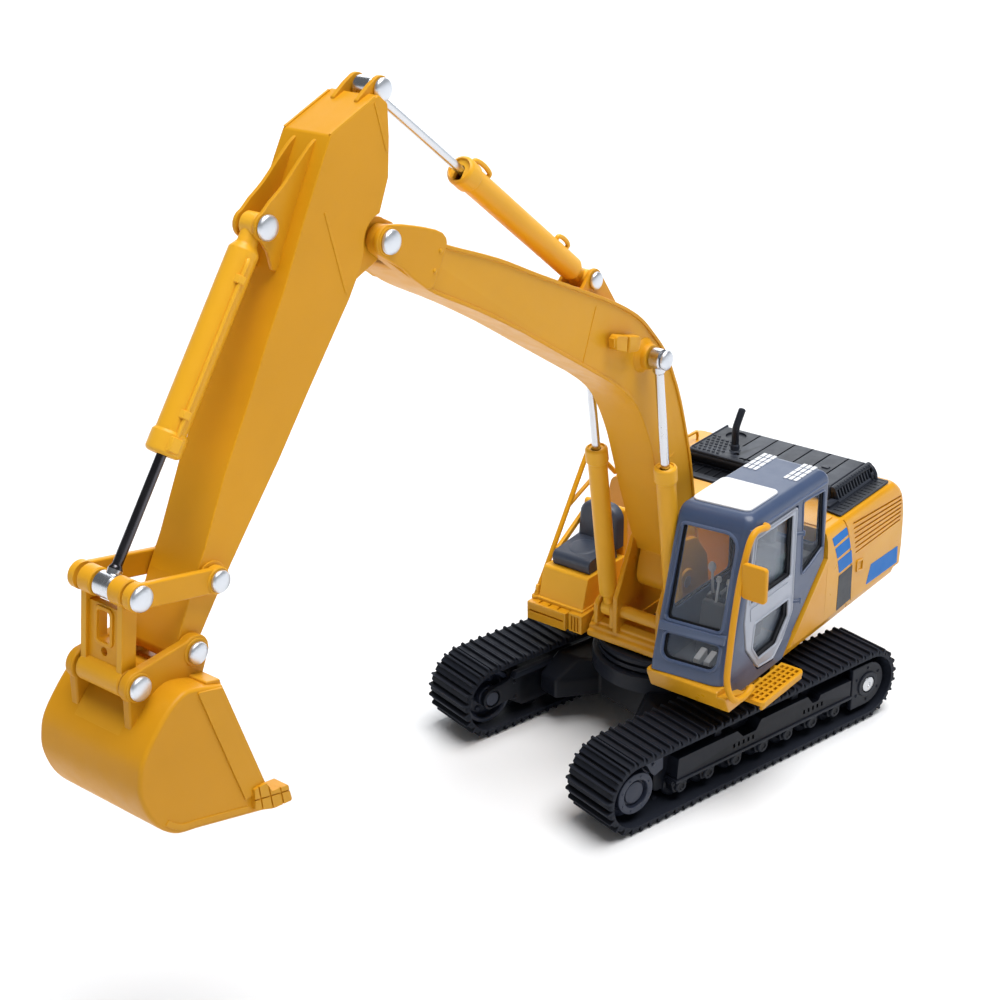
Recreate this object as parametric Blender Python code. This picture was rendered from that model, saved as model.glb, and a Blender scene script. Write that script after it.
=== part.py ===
"""Toy crawler excavator, about 1:40, as separate named pieces.

Metres, +Z up, +X the way the boom points.  The origin is on the ground under the
middle of the whole machine.  Lengths below are millimetres and are scaled on the way in.
"""
import math

import bmesh
import bpy
from mathutils import Matrix, Vector

MM = 0.001

# ---------------------------------------------------------------- driving dimensions (mm)
ORIGIN_X = -59.7          # slew axis, measured from the middle of the machine
BOOM_Y = 1.36             # the boom's plane is this far left of the slew axis
SWING_DEG = -13.7         # undercarriage heading, measured from the boom's direction
GAP = 0.3                 # running gap between neighbours

# undercarriage
TRACK_OVER = 75.0         # width over both belts
SHOE_W = 16.5             # belt width
TRACK_H = 21.4            # belt height
WHEELBASE = 83.9          # idler centre to sprocket centre
BELT_T = 2.2              # belt with its ribs
TRACK_Y = (TRACK_OVER - SHOE_W) / 2
WHEEL_Z = TRACK_H / 2
WHEEL_X = WHEELBASE / 2
BELT_IN = WHEEL_Z - BELT_T
WHEEL_R = BELT_IN - 0.4
AXLE_R = 2.2

# upper structure
DECK_Z0, DECK_Z1 = 27.0, 32.9
HOUSE_TOP = 56.75
HOUSE_TAIL = -69.8
HOUSE_CORNER = 2.4
HOUSE_L, HOUSE_R = 33.8, -34.5
WALL = 1.8
CAB_Y0, CAB_Y1 = 13.2, 33.3
CAB_TOP = 75.1
CAB_WALL = 1.3

# pivots in the boom's plane: (x, z)
P_FOOT = (4.0, 46.0)          # boom foot
P_BC_BASE = (12.8, 36.5)      # boom cylinder on the deck
P_BC_ROD = (23.4, 114.2)      # boom cylinder on the boom
P_NOSE = (112.3, 163.7)       # arm on the boom
P_AC_BASE = (40.1, 136.6)     # arm cylinder on the boom
P_AC_ROD = (108.2, 191.3)     # arm cylinder on the arm
P_KC_BASE = (139.6, 172.1)    # bucket cylinder on the arm
P_SIDE = (162.8, 112.4)       # side links on the arm
P_LINK = (181.0, 116.5)       # side links, H-link and bucket cylinder rod
P_TIP = (169.9, 100.8)        # bucket on the arm
P_BLINK = (183.6, 99.8)       # H-link on the bucket
CYL_Y = 10.4                  # boom cylinders, each side of the boom
DOOR_AXIS = (-8.4, 34.6)      # door hinge (x, y)

BOOM_HW = 6.5                 # half widths across the plane
FOOT_HW = 5.6
ARM_HW = 6.1
BUCKET_HW = 14.0
HLINK_HW = 5.7

BOOM_BORE, BOOM_BARREL_R, BOOM_ROD_R = 2.1, 2.5, 1.1
ARM_BORE, ARM_BARREL_R, ARM_ROD_R = 2.45, 2.8, 0.95
KC_BORE, KC_BARREL_R, KC_ROD_R = 2.1, 2.9, 0.95
BOOM_BARREL_L, ARM_BARREL_L, KC_BARREL_L = 49.0, 54.0, 44.5

# ---------------------------------------------------------------- colours (linear RGB)
YELLOW = (0.84, 0.45, 0.035)
CABBLUE = (0.088, 0.122, 0.215)
CHARCOAL = (0.022, 0.024, 0.030)
BLACKRUB = (0.012, 0.013, 0.017)
CHROME = (0.75, 0.76, 0.78)
STEEL = (0.55, 0.56, 0.58)
SILVER = (0.50, 0.52, 0.56)
WHITE = (0.88, 0.89, 0.90)
CLEAR = (0.80, 0.86, 0.90)
SEATBLUE = (0.050, 0.065, 0.105)


def wipe():
    for ob in list(bpy.data.objects):
        bpy.data.objects.remove(ob, do_unlink=True)
    for store in (bpy.data.meshes, bpy.data.curves, bpy.data.materials):
        for block in list(store):
            store.remove(block)


_materials = {}


def material(name, colour, rough, metal=0.0, alpha=1.0):
    if name not in _materials:
        m = bpy.data.materials.new(name)
        m.use_nodes = True
        b = m.node_tree.nodes["Principled BSDF"]
        b.inputs["Base Color"].default_value = (*colour, 1.0)
        b.inputs["Roughness"].default_value = rough
        b.inputs["Metallic"].default_value = metal
        b.inputs["Alpha"].default_value = alpha
        m.diffuse_color = (*colour, alpha)
        _materials[name] = m
    return _materials[name]


# ---------------------------------------------------------------- solids
def solid(verts, faces):
    """A loose mesh object, millimetres in, metres out."""
    me = bpy.data.meshes.new("solid")
    me.from_pydata([tuple(c * MM for c in v) for v in verts], [], faces)
    bm = bmesh.new()
    bm.from_mesh(me)
    bmesh.ops.recalc_face_normals(bm, faces=bm.faces)
    bm.to_mesh(me)
    bm.free()
    ob = bpy.data.objects.new("solid", me)
    bpy.context.scene.collection.objects.link(ob)
    return ob


def prism(pts, lo, hi, axis="y"):
    """A flat outline pushed from lo to hi along an axis.
    Outlines are (x, z) for y, (x, y) for z and (y, z) for x."""
    def place(p, t):
        if axis == "y":
            return (p[0], t, p[1])
        if axis == "z":
            return (p[0], p[1], t)
        return (t, p[0], p[1])
    n = len(pts)
    verts = [place(p, lo) for p in pts] + [place(p, hi) for p in pts]
    faces = [tuple(range(n)), tuple(range(2 * n - 1, n - 1, -1))]
    faces += [(i, (i + 1) % n, n + (i + 1) % n, n + i) for i in range(n)]
    return solid(verts, faces)


def box(x0, x1, y0, y1, z0, z1):
    return prism([(x0, y0), (x1, y0), (x1, y1), (x0, y1)], z0, z1, "z")


def lathe(profile, origin, direction, n=16):
    """A closed turned solid.  profile is (radius, distance along direction); a profile
    that starts and ends on the axis is a plug, any other is closed on itself."""
    d = Vector(direction).normalized()
    ref = Vector((0, 0, 1)) if abs(d.z) < 0.9 else Vector((1, 0, 0))
    u = d.cross(ref).normalized()
    w = d.cross(u)
    o = Vector(origin)
    verts, rings = [], []
    for r, t in profile:
        if r < 1e-9:
            rings.append([len(verts)])
            verts.append(o + d * t)
        else:
            rings.append(list(range(len(verts), len(verts) + n)))
            for k in range(n):
                a = 2 * math.pi * k / n
                verts.append(o + d * t + (u * math.cos(a) + w * math.sin(a)) * r)
    faces = []
    pairs = list(zip(rings, rings[1:]))
    if len(rings[0]) > 1 and len(rings[-1]) > 1:
        pairs.append((rings[-1], rings[0]))
    for a, b in pairs:
        for k in range(n):
            k2 = (k + 1) % n
            if len(a) == 1 and len(b) == 1:
                continue
            if len(a) == 1:
                faces.append((a[0], b[k], b[k2]))
            elif len(b) == 1:
                faces.append((a[k], b[0], a[k2]))
            else:
                faces.append((a[k], b[k], b[k2], a[k2]))
    return solid([tuple(v) for v in verts], faces)


def rod(p0, p1, r, n=14):
    d = Vector(p1) - Vector(p0)
    return lathe([(0, 0), (r, 0), (r, d.length), (0, d.length)], p0, d, n)


def cross_pin(p, r, half, n=12):
    return rod((p[0], -half, p[1]), (p[0], half, p[1]), r, n)


def sweep(path, r, n=10):
    """A round bar along a bent path with flat ends."""
    pts = [Vector(p) for p in path]
    verts, faces = [], []
    side = None
    for i, p in enumerate(pts):
        if i == 0:
            t = (pts[1] - p).normalized()
        elif i == len(pts) - 1:
            t = (p - pts[i - 1]).normalized()
        else:
            t = ((p - pts[i - 1]).normalized() + (pts[i + 1] - p).normalized()).normalized()
        if side is None:
            ref = Vector((0, 0, 1)) if abs(t.z) < 0.9 else Vector((0, 1, 0))
            side = t.cross(ref).normalized()
        else:
            side = (side - t * side.dot(t)).normalized()
        up = t.cross(side)
        for k in range(n):
            a = 2 * math.pi * k / n
            verts.append(tuple(p + (side * math.cos(a) + up * math.sin(a)) * r))
    for i in range(len(pts) - 1):
        for k in range(n):
            k2 = (k + 1) % n
            faces.append((i * n + k, i * n + k2, (i + 1) * n + k2, (i + 1) * n + k))
    faces.append(tuple(range(n)))
    faces.append(tuple(range(len(verts) - 1, len(verts) - n - 1, -1)))
    return solid(verts, faces)


def arc(centre, r, a0, a1, n):
    """Points on an arc, degrees, both ends kept."""
    return [(centre[0] + r * math.cos(math.radians(a0 + (a1 - a0) * k / n)),
             centre[1] + r * math.sin(math.radians(a0 + (a1 - a0) * k / n))) for k in range(n + 1)]


def stadium(r, n=10):
    return (arc((WHEEL_X, WHEEL_Z), r, -90, 90, n) + arc((-WHEEL_X, WHEEL_Z), r, 90, 270, n))


def boolean(a, b, op):
    mod = a.modifiers.new("join", "BOOLEAN")
    mod.operation = op
    mod.solver = "EXACT"
    mod.object = b
    b.hide_render = True
    b.display_type = "WIRE"
    bpy.context.view_layer.update()
    graph = bpy.context.evaluated_depsgraph_get()
    me = bpy.data.meshes.new_from_object(a.evaluated_get(graph))
    a.modifiers.clear()
    old = a.data
    a.data = me
    bpy.data.meshes.remove(old)
    tool = b.data
    bpy.data.objects.remove(b, do_unlink=True)
    bpy.data.meshes.remove(tool)
    bm = bmesh.new()
    bm.from_mesh(me)
    bmesh.ops.remove_doubles(bm, verts=bm.verts, dist=1e-6)
    bmesh.ops.dissolve_degenerate(bm, edges=bm.edges, dist=1e-6)
    bm.to_mesh(me)
    bm.free()
    return a


def join(a, *others):
    for b in others:
        boolean(a, b, "UNION")
    return a


def cut(a, *others):
    for b in others:
        boolean(a, b, "DIFFERENCE")
    return a


# ---------------------------------------------------------------- tree of empties
def empty(name, parent, at, turn=0.0):
    e = bpy.data.objects.new(name, None)
    e.empty_display_size = 0.005
    bpy.context.scene.collection.objects.link(e)
    e.parent = parent
    e.location = tuple(c * MM for c in at)
    e.rotation_euler = (0, 0, math.radians(turn))
    return e


class Body:
    """A moving group: an empty on the joint's axis, and the pieces it carries."""

    def __init__(self, name, parent, axis_point):
        self.point = Vector(axis_point)
        self.empty = empty(name, parent.empty if parent else None,
                           self.point - (parent.point if parent else Vector((0, 0, 0))))

    def node(self, name, ob, mat, smooth=35):
        ob.name = name
        ob.data.name = name
        ob.data.materials.clear()
        ob.data.materials.append(mat)
        ob.data.transform(Matrix.Translation(-self.point * MM))
        ob.parent = self.empty
        if smooth:
            ob.data.shade_smooth()
            ob.data.set_sharp_from_angle(angle=math.radians(smooth))
        return ob


def in_plane(p, y=0.0):
    return (p[0], y, p[1])


# ---------------------------------------------------------------- pieces used more than once
def headed_pin(p, r, half, head_r, head_t, n=10, twin=False):
    """A cross pin with a domed head on its left end and a small upset end on the right, or two heads."""
    head = [(r, half), (head_r, half), (head_r * 0.93, half + head_t * 0.5), (head_r * 0.62, half + head_t * 0.9), (0, half + head_t)]
    tail = head if twin else [(r, half), (r + 0.5, half), (r + 0.5, half + 0.25), (0, half + 0.5)]
    prof = [(q, -t) for q, t in reversed(tail)] + head
    return lathe(prof, in_plane(p), (0, 1, 0), n)


def barrel(p0, p1, length, r, bore, eye_r, eye_half, hole_r, collar_r, y=0.0, neck=4.3, n=14):
    """Cylinder barrel: eye on p0, open bore towards p1, collar at the mouth."""
    d = Vector((p1[0] - p0[0], 0, p1[1] - p0[1])).normalized()
    o = Vector(in_plane(p0, y))
    body = lathe([(0, 0.8), (r * 0.62, 0.8), (r * 0.62, neck - 0.6), (r, neck + 0.4), (r, length - 4.2),
                  (collar_r, length - 3.7), (collar_r, length - 0.4), (collar_r - 0.4, length),
                  (bore, length), (bore, neck + 1.6), (0, neck + 1.6)], o, d, n)
    eye = rod((p0[0], y - eye_half, p0[1]), (p0[0], y + eye_half, p0[1]), eye_r, 16)
    join(body, eye)
    return cut(body, rod((p0[0], y - 20, p0[1]), (p0[0], y + 20, p0[1]), hole_r, 14))


def piston(p0, p1, length, r, eye_r, eye_half, hole_r, y=0.0, n=12):
    """Cylinder rod: eye on p1, rod reaching back towards p0."""
    d = Vector((p0[0] - p1[0], 0, p0[1] - p1[1])).normalized()
    o = Vector(in_plane(p1, y))
    bar = lathe([(0, 0.6), (r, 0.6), (r, length - 0.3), (r - 0.3, length), (0, length)], o, d, n)
    join(bar, rod((p1[0], y - eye_half, p1[1]), (p1[0], y + eye_half, p1[1]), eye_r, 16))
    return cut(bar, rod((p1[0], y - 20, p1[1]), (p1[0], y + 20, p1[1]), hole_r, 14))


def lug(p, r, foot_z, y0, y1, n=6):
    """An upright ear with a round top on p."""
    return prism([(p[0] - r, foot_z)] + arc(p, r, 180, 0, n) + [(p[0] + r, foot_z)], y0, y1)


# ---------------------------------------------------------------- build
wipe()
paint = material("yellow_paint", YELLOW, 0.38)
cabpl = material("cab_plastic", CABBLUE, 0.42)
char = material("charcoal_plastic", CHARCOAL, 0.5)
rubber = material("track_rubber", BLACKRUB, 0.62)
blackpl = material("black_plastic", (0.016, 0.017, 0.021), 0.45)
chrome = material("chrome", CHROME, 0.16, 1.0)
steel = material("steel", STEEL, 0.28, 1.0)
silver = material("silver_plastic", SILVER, 0.35, 0.3)
white = material("white_plastic", WHITE, 0.4)
clear = material("clear_plastic", CLEAR, 0.08, 0.0, 0.3)
seat_pl = material("seat_plastic", SEATBLUE, 0.5)

machine = empty("machine", None, (ORIGIN_X, 0, 0))
under = Body("undercarriage_axis", None, (0, 0, 0))
under.empty.parent = machine
under.empty.rotation_euler = (0, 0, math.radians(SWING_DEG))
upper = Body("swing_axis", None, (0, 0, 0))
upper.empty.parent = machine
upper.empty.location = (0, BOOM_Y * MM, 0)

# ---- undercarriage, its own heading, y measured from the slew axis
plan = [(26, 21.6), (26, 15), (15, 9), (15, -9), (26, -15), (26, -21.6),
        (-26, -21.6), (-26, -15), (-15, -9), (-15, 9), (-26, 15), (-26, 21.6)]
chassis = join(prism(plan, 8.0, 19.0, "z"), lathe([(0, 18), (19.5, 18), (19.5, 22.4), (0, 22.4)], (0, 0, 0), (0, 0, 1), 28))
cut(chassis, rod((0, 0, 5), (0, 0, 25), 6.4, 24), rod((0, 0, 5), (0, 0, 10), 9.0, 24))
under.node("chassis_frame", chassis, blackpl)
under.node("chassis_cover", prism([(12, 9), (9, 12), (-9, 12), (-12, 9), (-12, -9), (-9, -12), (9, -12), (12, -9)], 6.4, 7.7, "z"), blackpl)
under.node("slew_ring", lathe([(9, 22.7), (18, 22.7), (18, 26.7), (9, 26.7)], (0, 0, 0), (0, 0, 1), 32), steel)

for side, s in (("left", 1), ("right", -1)):
    def ys(a, b):
        return (a, b) if s > 0 else (-b, -a)
    yc = TRACK_Y
    lo, hi = yc - SHOE_W / 2, yc + SHOE_W / 2
    belt = prism(stadium(WHEEL_Z), *ys(lo, hi))
    cut(belt, prism(stadium(BELT_IN), *ys(lo - 2, hi + 2)))
    under.node(side + "_track_belt", belt, rubber)
    # long side box with plates that reach out to the axles
    zb, zt = WHEEL_Z - BELT_IN + 0.4, WHEEL_Z + BELT_IN - 0.4
    frame = prism([(-33, zb), (33, zb), (33, zt), (-33, zt)], *ys(lo + 1.1, hi - 1.2))
    inner = arc((WHEEL_X, WHEEL_Z), 5.4, -90, 90, 8) + arc((-WHEEL_X, WHEEL_Z), 5.4, 90, 270, 8)
    join(frame, prism(inner, *ys(lo + 1.1, lo + 2.5)))
    outer = [(-30, WHEEL_Z - 6.4), (-30, WHEEL_Z + 6.4)] + arc((-WHEEL_X, WHEEL_Z), 6.4, 90, 270, 10)
    join(frame, prism(outer, *ys(hi - 2.6, hi - 1.2)))
    for wx in (WHEEL_X, -WHEEL_X):
        cut(frame, rod((wx, ys(lo, lo)[0] - 1 if s > 0 else -lo + 1, WHEEL_Z), (wx, ys(lo, lo)[0] + 3.2 if s > 0 else -lo - 3.2, WHEEL_Z), AXLE_R + 0.3, 16))
    cut(frame, rod((-WHEEL_X, s * (hi - 3.4), WHEEL_Z), (-WHEEL_X, s * (hi + 1), WHEEL_Z), AXLE_R + 0.3, 16))
    under.node(side + "_track_frame", frame, blackpl)
    under.node(side + "_sprocket_axle", rod((-WHEEL_X, s * (lo + 1.3), WHEEL_Z), (-WHEEL_X, s * (hi - 0.6), WHEEL_Z), AXLE_R, 18), steel)
    # wheels: the idler has its own stub, the sprocket runs on the steel axle
    idler = Body(side + "_idler_axis", under, (WHEEL_X, s * yc, WHEEL_Z))
    a = lo + 2.9 - yc
    b = hi - 1.4 - yc
    prof = [(0, lo + 1.3 - yc), (AXLE_R, lo + 1.3 - yc), (AXLE_R, a), (WHEEL_R, a), (WHEEL_R, b), (WHEEL_R - 1.8, b),
            (WHEEL_R - 2.4, b - 1.2), (3.4, b - 1.2), (3.0, b - 0.2), (0, b - 0.2)]
    idler.node(side + "_idler_wheel", lathe(prof, (WHEEL_X, s * yc, WHEEL_Z), (0, s, 0), 20), char)
    sprocket = Body(side + "_sprocket_axis", under, (-WHEEL_X, s * yc, WHEEL_Z))
    b2 = hi - 3.0 - yc
    prof = [(AXLE_R + 0.3, a), (WHEEL_R, a), (WHEEL_R, b2), (AXLE_R + 0.3, b2)]
    sprocket.node(side + "_sprocket_wheel", lathe(prof, (-WHEEL_X, s * yc, WHEEL_Z), (0, s, 0), 20), blackpl)

# ---- deck, y measured from the boom's plane from here on
SLEW = (0, -BOOM_Y)
deck_plan = [(28.2, 11.8), (28.2, 35.4), (16.4, 35.4), (16.4, 31.6), (-58, 31.6), (-58, -32.0), (-22, -32.0),
             (-22, -34.2), (18.3, -34.2), (18.3, -17), (16, -15), (16, 11.8)]
deck = prism(deck_plan, DECK_Z0, DECK_Z1, "z")
join(deck, lathe([(0, 9.9), (6.0, 9.9), (6.0, 29), (0, 29)], (SLEW[0], SLEW[1], 0), (0, 0, 1), 24))
plate = [(-9, 31), (-6.5, 50), (-1, 57), (5, 58.3), (8, 57), (15.8, 41), (15.9, 31)]
for s in (1, -1):
    join(deck, prism(plate, min(s * 6.0, s * 7.5), max(s * 6.0, s * 7.5)))
    join(deck, lug(P_BC_BASE, 3.0, 31, min(s * 7.3, s * 8.5), max(s * 7.3, s * 8.5)))
    join(deck, lug(P_BC_BASE, 3.0, 31, min(s * 12.2, s * 12.95), max(s * 12.2, s * 12.95)))
cut(deck, cross_pin(P_FOOT, 1.9, 20), cross_pin(P_BC_BASE, 1.3, 20),
    rod((SLEW[0], SLEW[1], 8), (SLEW[0], SLEW[1], 18.6), 1.8, 14))
upper.node("deck_frame", deck, paint)
upper.node("slew_screw", lathe([(0, 8.3), (7.4, 8.3), (8.0, 8.7), (8.0, 9.6), (1.5, 9.6), (1.5, 18), (0, 18)],
                               (SLEW[0], SLEW[1], 0), (0, 0, 1), 20), steel)
upper.node("boom_foot_pin", cross_pin(P_FOOT, 1.6, 8.2), chrome)
upper.node("boom_cylinder_base_pin", cross_pin(P_BC_BASE, 1.0, 12.9), chrome)

# ---- house
hx0, hx1 = HOUSE_TAIL, -24.0
rc = HOUSE_CORNER
house_plan = [(hx1, HOUSE_L)] + arc((hx0 + rc, HOUSE_L - rc), rc, 90, 180, 4) + arc((hx0 + rc, HOUSE_R + rc), rc, 180, 270, 4) + \
             [(-20.5, HOUSE_R), (-20.5, 12.6), (hx1, 12.6)]
house_in = [(hx1 - WALL, HOUSE_L - WALL)] + arc((hx0 + rc, HOUSE_L - rc), rc - WALL, 90, 180, 4) + \
           arc((hx0 + rc, HOUSE_R + rc), rc - WALL, 180, 270, 4) + \
           [(-20.5 - WALL, HOUSE_R + WALL), (-20.5 - WALL, 12.6 - WALL), (hx1 - WALL, 12.6 - WALL)]
house = prism(house_plan, 27.5, HOUSE_TOP, "z")
cut(house, prism(house_in, 20, HOUSE_TOP - WALL, "z"))
# the front wall and the right front corner stop above the deck
cut(house, box(-26.2, -15, -40, 31.9, 20, DECK_Z1 + GAP))
# left side panel runs forward under the cab's raked corner
join(house, prism([(-40, 27.5), (-3.2, 27.5), (-24.0, 48.9), (-40, 48.9)], 32.0, HOUSE_L))
# tail opening that the counterweight closes
cut(house, box(hx0 - 5, hx0 + WALL + 1, -29.3, 29.3, 20, 52.3))
upper.node("house_shell", house, paint)
upper.node("counterweight", prism([(-29, 27.5), (29, 27.5), (29, 50.5), (27.5, 52), (-27.5, 52), (-29, 50.5)], hx0, -58.4, "x"), paint)

hood = prism([(-62.1, 57.05), (-62.1, 60.2), (-60.9, 61.4), (-42.0, 61.4), (-41.0, 60.4), (-41.0, 57.05)], -21.3, 24.4)
upper.node("engine_hood", hood, char)
upper.node("engine_grille", prism([(24.7, 57.05), (31.8, 57.05), (31.8, 57.9), (26.6, 57.9), (25.4, 60.3), (24.7, 60.3)],
                                  -61.6, -35.5, "x"), char)
upper.node("exhaust_pipe", sweep([(-47.1, -9.6, 61.7), (-47.1, -9.6, 66.0), (-47.6, -9.6, 68.2), (-50.0, -9.6, 73.6)], 1.3, 12), char)

# ---- cab: a raked box, open below, with window and door openings
cab_side = [(25.6, 33.2), (25.9, 36), (15.2, 73.2), (13.5, CAB_TOP), (-21.5, CAB_TOP), (-23.6, 73), (-23.6, 49.6), (-7.6, 33.2)]
cab_in = [(24.2, 30), (24.5, 36), (14.0, 72.5), (12.9, 73.7), (-21.0, 73.7), (-22.3, 72.4), (-22.3, 50.1), (-2.6, 30)]
cab = cut(prism(cab_side, CAB_Y0, CAB_Y1), prism(cab_in, CAB_Y0 + CAB_WALL, CAB_Y1 - CAB_WALL))
# the left wall reaches down past the deck's edge to the step
join(cab, prism([(-7.5, 33.5), (-2.9, 28.4), (16.0, 28.4), (16.0, 33.5)], CAB_Y1 - CAB_WALL, CAB_Y1))
door_open = [(-7.3, 71), (-7.5, 40.8), (-2.7, 34.0), (1.9, 30.2), (9.8, 31.0), (16.4, 39.3), (17.7, 47.6), (14.9, 71)]
rear_win = [(-10.0, 70.3), (-20.8, 70.0), (-21.4, 53.2), (-14.6, 50.4), (-10.4, 49.5)]
cut(cab, box(10, 30, 16, 30.7, 46.2, 71), box(14, 30, 16, 30.7, 36, 43.6),
    prism([(-8, 47), (15, 47), (11, 71), (-8, 71)], CAB_Y0 - 2, CAB_Y0 + 3),
    box(-26, -20, 16, 30.7, 53, 70.5), prism(door_open, 31, 36), prism(rear_win, 31, 36))
upper.node("cab_shell", cab, cabpl)
glass_out = [(23.8, 33.3), (24.1, 36), (13.6, 72.2), (-22.0, 72.2), (-22.0, 50.5), (-5.5, 33.3)]
glass_in = [(23.0, 30), (23.3, 36), (12.2, 75), (-21.3, 75), (-21.3, 50.8), (-1.6, 30)]
glass = cut(prism(glass_out, 14.8, 31.7), prism(glass_in, 15.5, 31.0))
cut(glass, box(-8.6, 30, 30.7, 33, 30, 80))
upper.node("cab_glazing", glass, clear)

hatch = arc((9.5, 27.8), 2, 90, 0, 4) + arc((9.5, 15.6), 2, 0, -90, 4) + arc((-1.3, 15.6), 2, -90, -180, 4) + arc((-1.3, 27.8), 2, 180, 90, 4)
upper.node("roof_hatch", prism(hatch, CAB_TOP + GAP, CAB_TOP + 0.9, "z"), white)
seat = [(-3.3, 33.3), (4, 33.3), (4.6, 40), (3.4, 42.4), (-5.4, 42.1), (-8.8, 56.6), (-11.4, 56.2), (-9.4, 41)]
upper.node("operator_seat", prism(seat, 19.2, 28.0), seat_pl)
upper.node("control_console", prism([(9, 33.3), (15.5, 33.3), (14.2, 38), (12.2, 48), (10.8, 48), (10.2, 38)], 17.6, 29.4), blackpl)

rail = [(10.0, 33.65, 72.6), (10.0, 34.5, 72.6), (11.4, 35.0, 73.0), (14.0, 35.0, 73.8), (16.6, 34.9, 73.6), (18.9, 34.8, 70.6), (21.9, 34.6, 62.0),
        (24.6, 34.6, 50.0), (27.2, 34.9, 37.5), (27.4, 36.4, 33.4), (25.6, 36.9, 30.9), (22.2, 36.9, 30.2), (17.0, 36.9, 30.4)]
upper.node("cab_handrail", sweep(rail, 0.85, 10), paint)
mirror = arc((41.0, 58.8), 1.2, -90, 0, 3) + arc((41.0, 66.0), 1.2, 0, 90, 3) + arc((37.0, 66.0), 1.2, 90, 180, 3) + arc((37.0, 58.8), 1.2, 180, 270, 3)
upper.node("mirror", prism(mirror, 21.6, 22.8, "x"), paint)
step = prism([(-2.4, 32.0), (16, 32.0), (16, 39.4), (14.6, 40.3), (-3.6, 40.3), (-5, 39.4), (-5, 34.1), (-2.4, 34.1)], 25.4, 28.0, "z")
upper.node("step_plate", step, paint)

toolbox = [(15, 33.2), (12.6, 42), (-4.8, 42), (-5.2, 57.6), (-6.8, 57.6), (-7.2, 33.2)]
upper.node("tool_box", prism(toolbox, -32.4, -18.0), paint)
cover = [(10.4, 42.3), (10.8, 44.2), (9.2, 45.8), (-1.2, 45.2), (-2.0, 56.2), (-4.2, 56.6), (-4.4, 42.3)]
upper.node("bench_cover", prism(cover, -31.6, -19.0), seat_pl)
guard = [(15.2, -33.4, 33.2), (9.3, -33.4, 41.8), (-8.0, -33.4, 67.0), (-10.4, -33.4, 68.6), (-13.0, -33.4, 67.4), (-22.4, -33.4, 57.1)]
upper.node("guard_rail", sweep(guard, 0.7, 10), paint)

# ---- cab door on its rear edge
door = Body("door_axis", upper, (DOOR_AXIS[0], DOOR_AXIS[1], 50))
leaf_pts = [(-6.9, 70.6), (-7.1, 41.0), (-2.4, 34.3), (2.0, 30.6), (9.6, 31.4), (16.0, 39.5), (17.3, 47.6), (14.6, 70.6)]
leaf = prism(leaf_pts, CAB_Y1 - 1.2, CAB_Y1)
for z0, z1 in ((41.6, 45.4), (61.0, 64.8)):
    join(leaf, box(-8.4, -5.6, 33.75, 34.75, z0, z1), box(-6.6, -5.6, 32.8, 34.2, z0, z1),
         rod((DOOR_AXIS[0], DOOR_AXIS[1], z0 - 0.2), (DOOR_AXIS[0], DOOR_AXIS[1], z1 + 0.2), 0.9, 12))
cut(leaf, prism([(12.6, 68.8), (-4.5, 68.8), (-4.7, 52), (13.8, 52)], 30, 36),
    prism([(12, 45.4), (-4.4, 45.4), (-4.6, 40.0), (0.8, 34.4), (10, 34.2), (12.9, 38.6)], 30, 36))
door.node("cab_door", leaf, silver)
pane = [(13.6, 69.8), (-5.4, 69.8), (-5.6, 40.6), (0.4, 33.5), (10.3, 33.3), (13.9, 38.2), (14.8, 52)]
door.node("door_glazing", prism(pane, 31.2, 31.8), clear)

# ---- boom
boom_b = Body("boom_axis", upper, in_plane(P_FOOT))
front_edge = [(9.8, 60.3), (12.7, 67.7), (15.4, 75.2), (17.9, 82.9), (21, 91.7), (25.5, 100.5), (30, 105.7), (36, 110.4), (42, 114.4),
              (57.4, 124.7), (71.6, 134), (85, 142), (100, 150.2)]
nose = [(104.4, 153.6)] + arc(P_NOSE, 3.1, -62, 105, 8)
back_edge = [(104.6, 164.5), (97.9, 161.2), (94, 158.8), (78, 151.8), (64.4, 145), (50, 138), (36.4, 131.3), (26, 125), (19.7, 119.1),
             (13.8, 112.3), (10, 105.2), (6.6, 97.5), (2.8, 85.5), (0.5, 76.4), (-2.4, 61)]
boom = prism(front_edge + nose + back_edge, -BOOM_HW, BOOM_HW)
join(boom, prism([(10.2, 62)] + [(9.3, 51)] + arc(P_FOOT, 5.2, 0, -180, 10) + [(-2.3, 62)], -FOOT_HW, FOOT_HW))
ears = [(97.2, 154.6), (100.1, 150.8), (101.9, 151.6), (105.2, 154.2), (108.4, 157.2)] + arc(P_NOSE, 3.2, -60, 105, 8) + \
       [(107.9, 165.8), (101.3, 163.4), (97.9, 162.2), (95.7, 160.8), (94.8, 159.2)]
for s in (1, -1):
    join(boom, prism(ears, min(s * 6.0, s * 7.4), max(s * 6.0, s * 7.4)))
    join(boom, prism([(42.9, 139.0), (41.4, 140.0), (38.6, 139.4), (30.8, 127), (46.6, 134)], min(s * 2.7, s * 3.8), max(s * 2.7, s * 3.8)))
    join(boom, rod((P_BC_ROD[0], s * 6.0, P_BC_ROD[1]), (P_BC_ROD[0], s * 8.6, P_BC_ROD[1]), 3.1, 16))
slot = [(P_NOSE[0] - 7.5, P_NOSE[1] - 12), (P_NOSE[0] + 10, P_NOSE[1] - 12), (P_NOSE[0] + 10, P_NOSE[1] + 10), (P_NOSE[0] - 7.5, P_NOSE[1] + 10)]
cut(boom, prism(slot, -4.4, 4.4), cross_pin(P_FOOT, 1.9, 20), cross_pin(P_NOSE, 1.6, 20),
    cross_pin(P_AC_BASE, 1.3, 20), cross_pin(P_BC_ROD, 1.3, 20))
boom_b.node("boom", boom, paint)
lamp = prism([(28.9, 117.2), (36.6, 119.6), (36.9, 123.6), (35.2, 124.6), (29.4, 121.6)], BOOM_HW + GAP, BOOM_HW + 2.6)
boom_b.node("work_lamp", lamp, paint)
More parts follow.
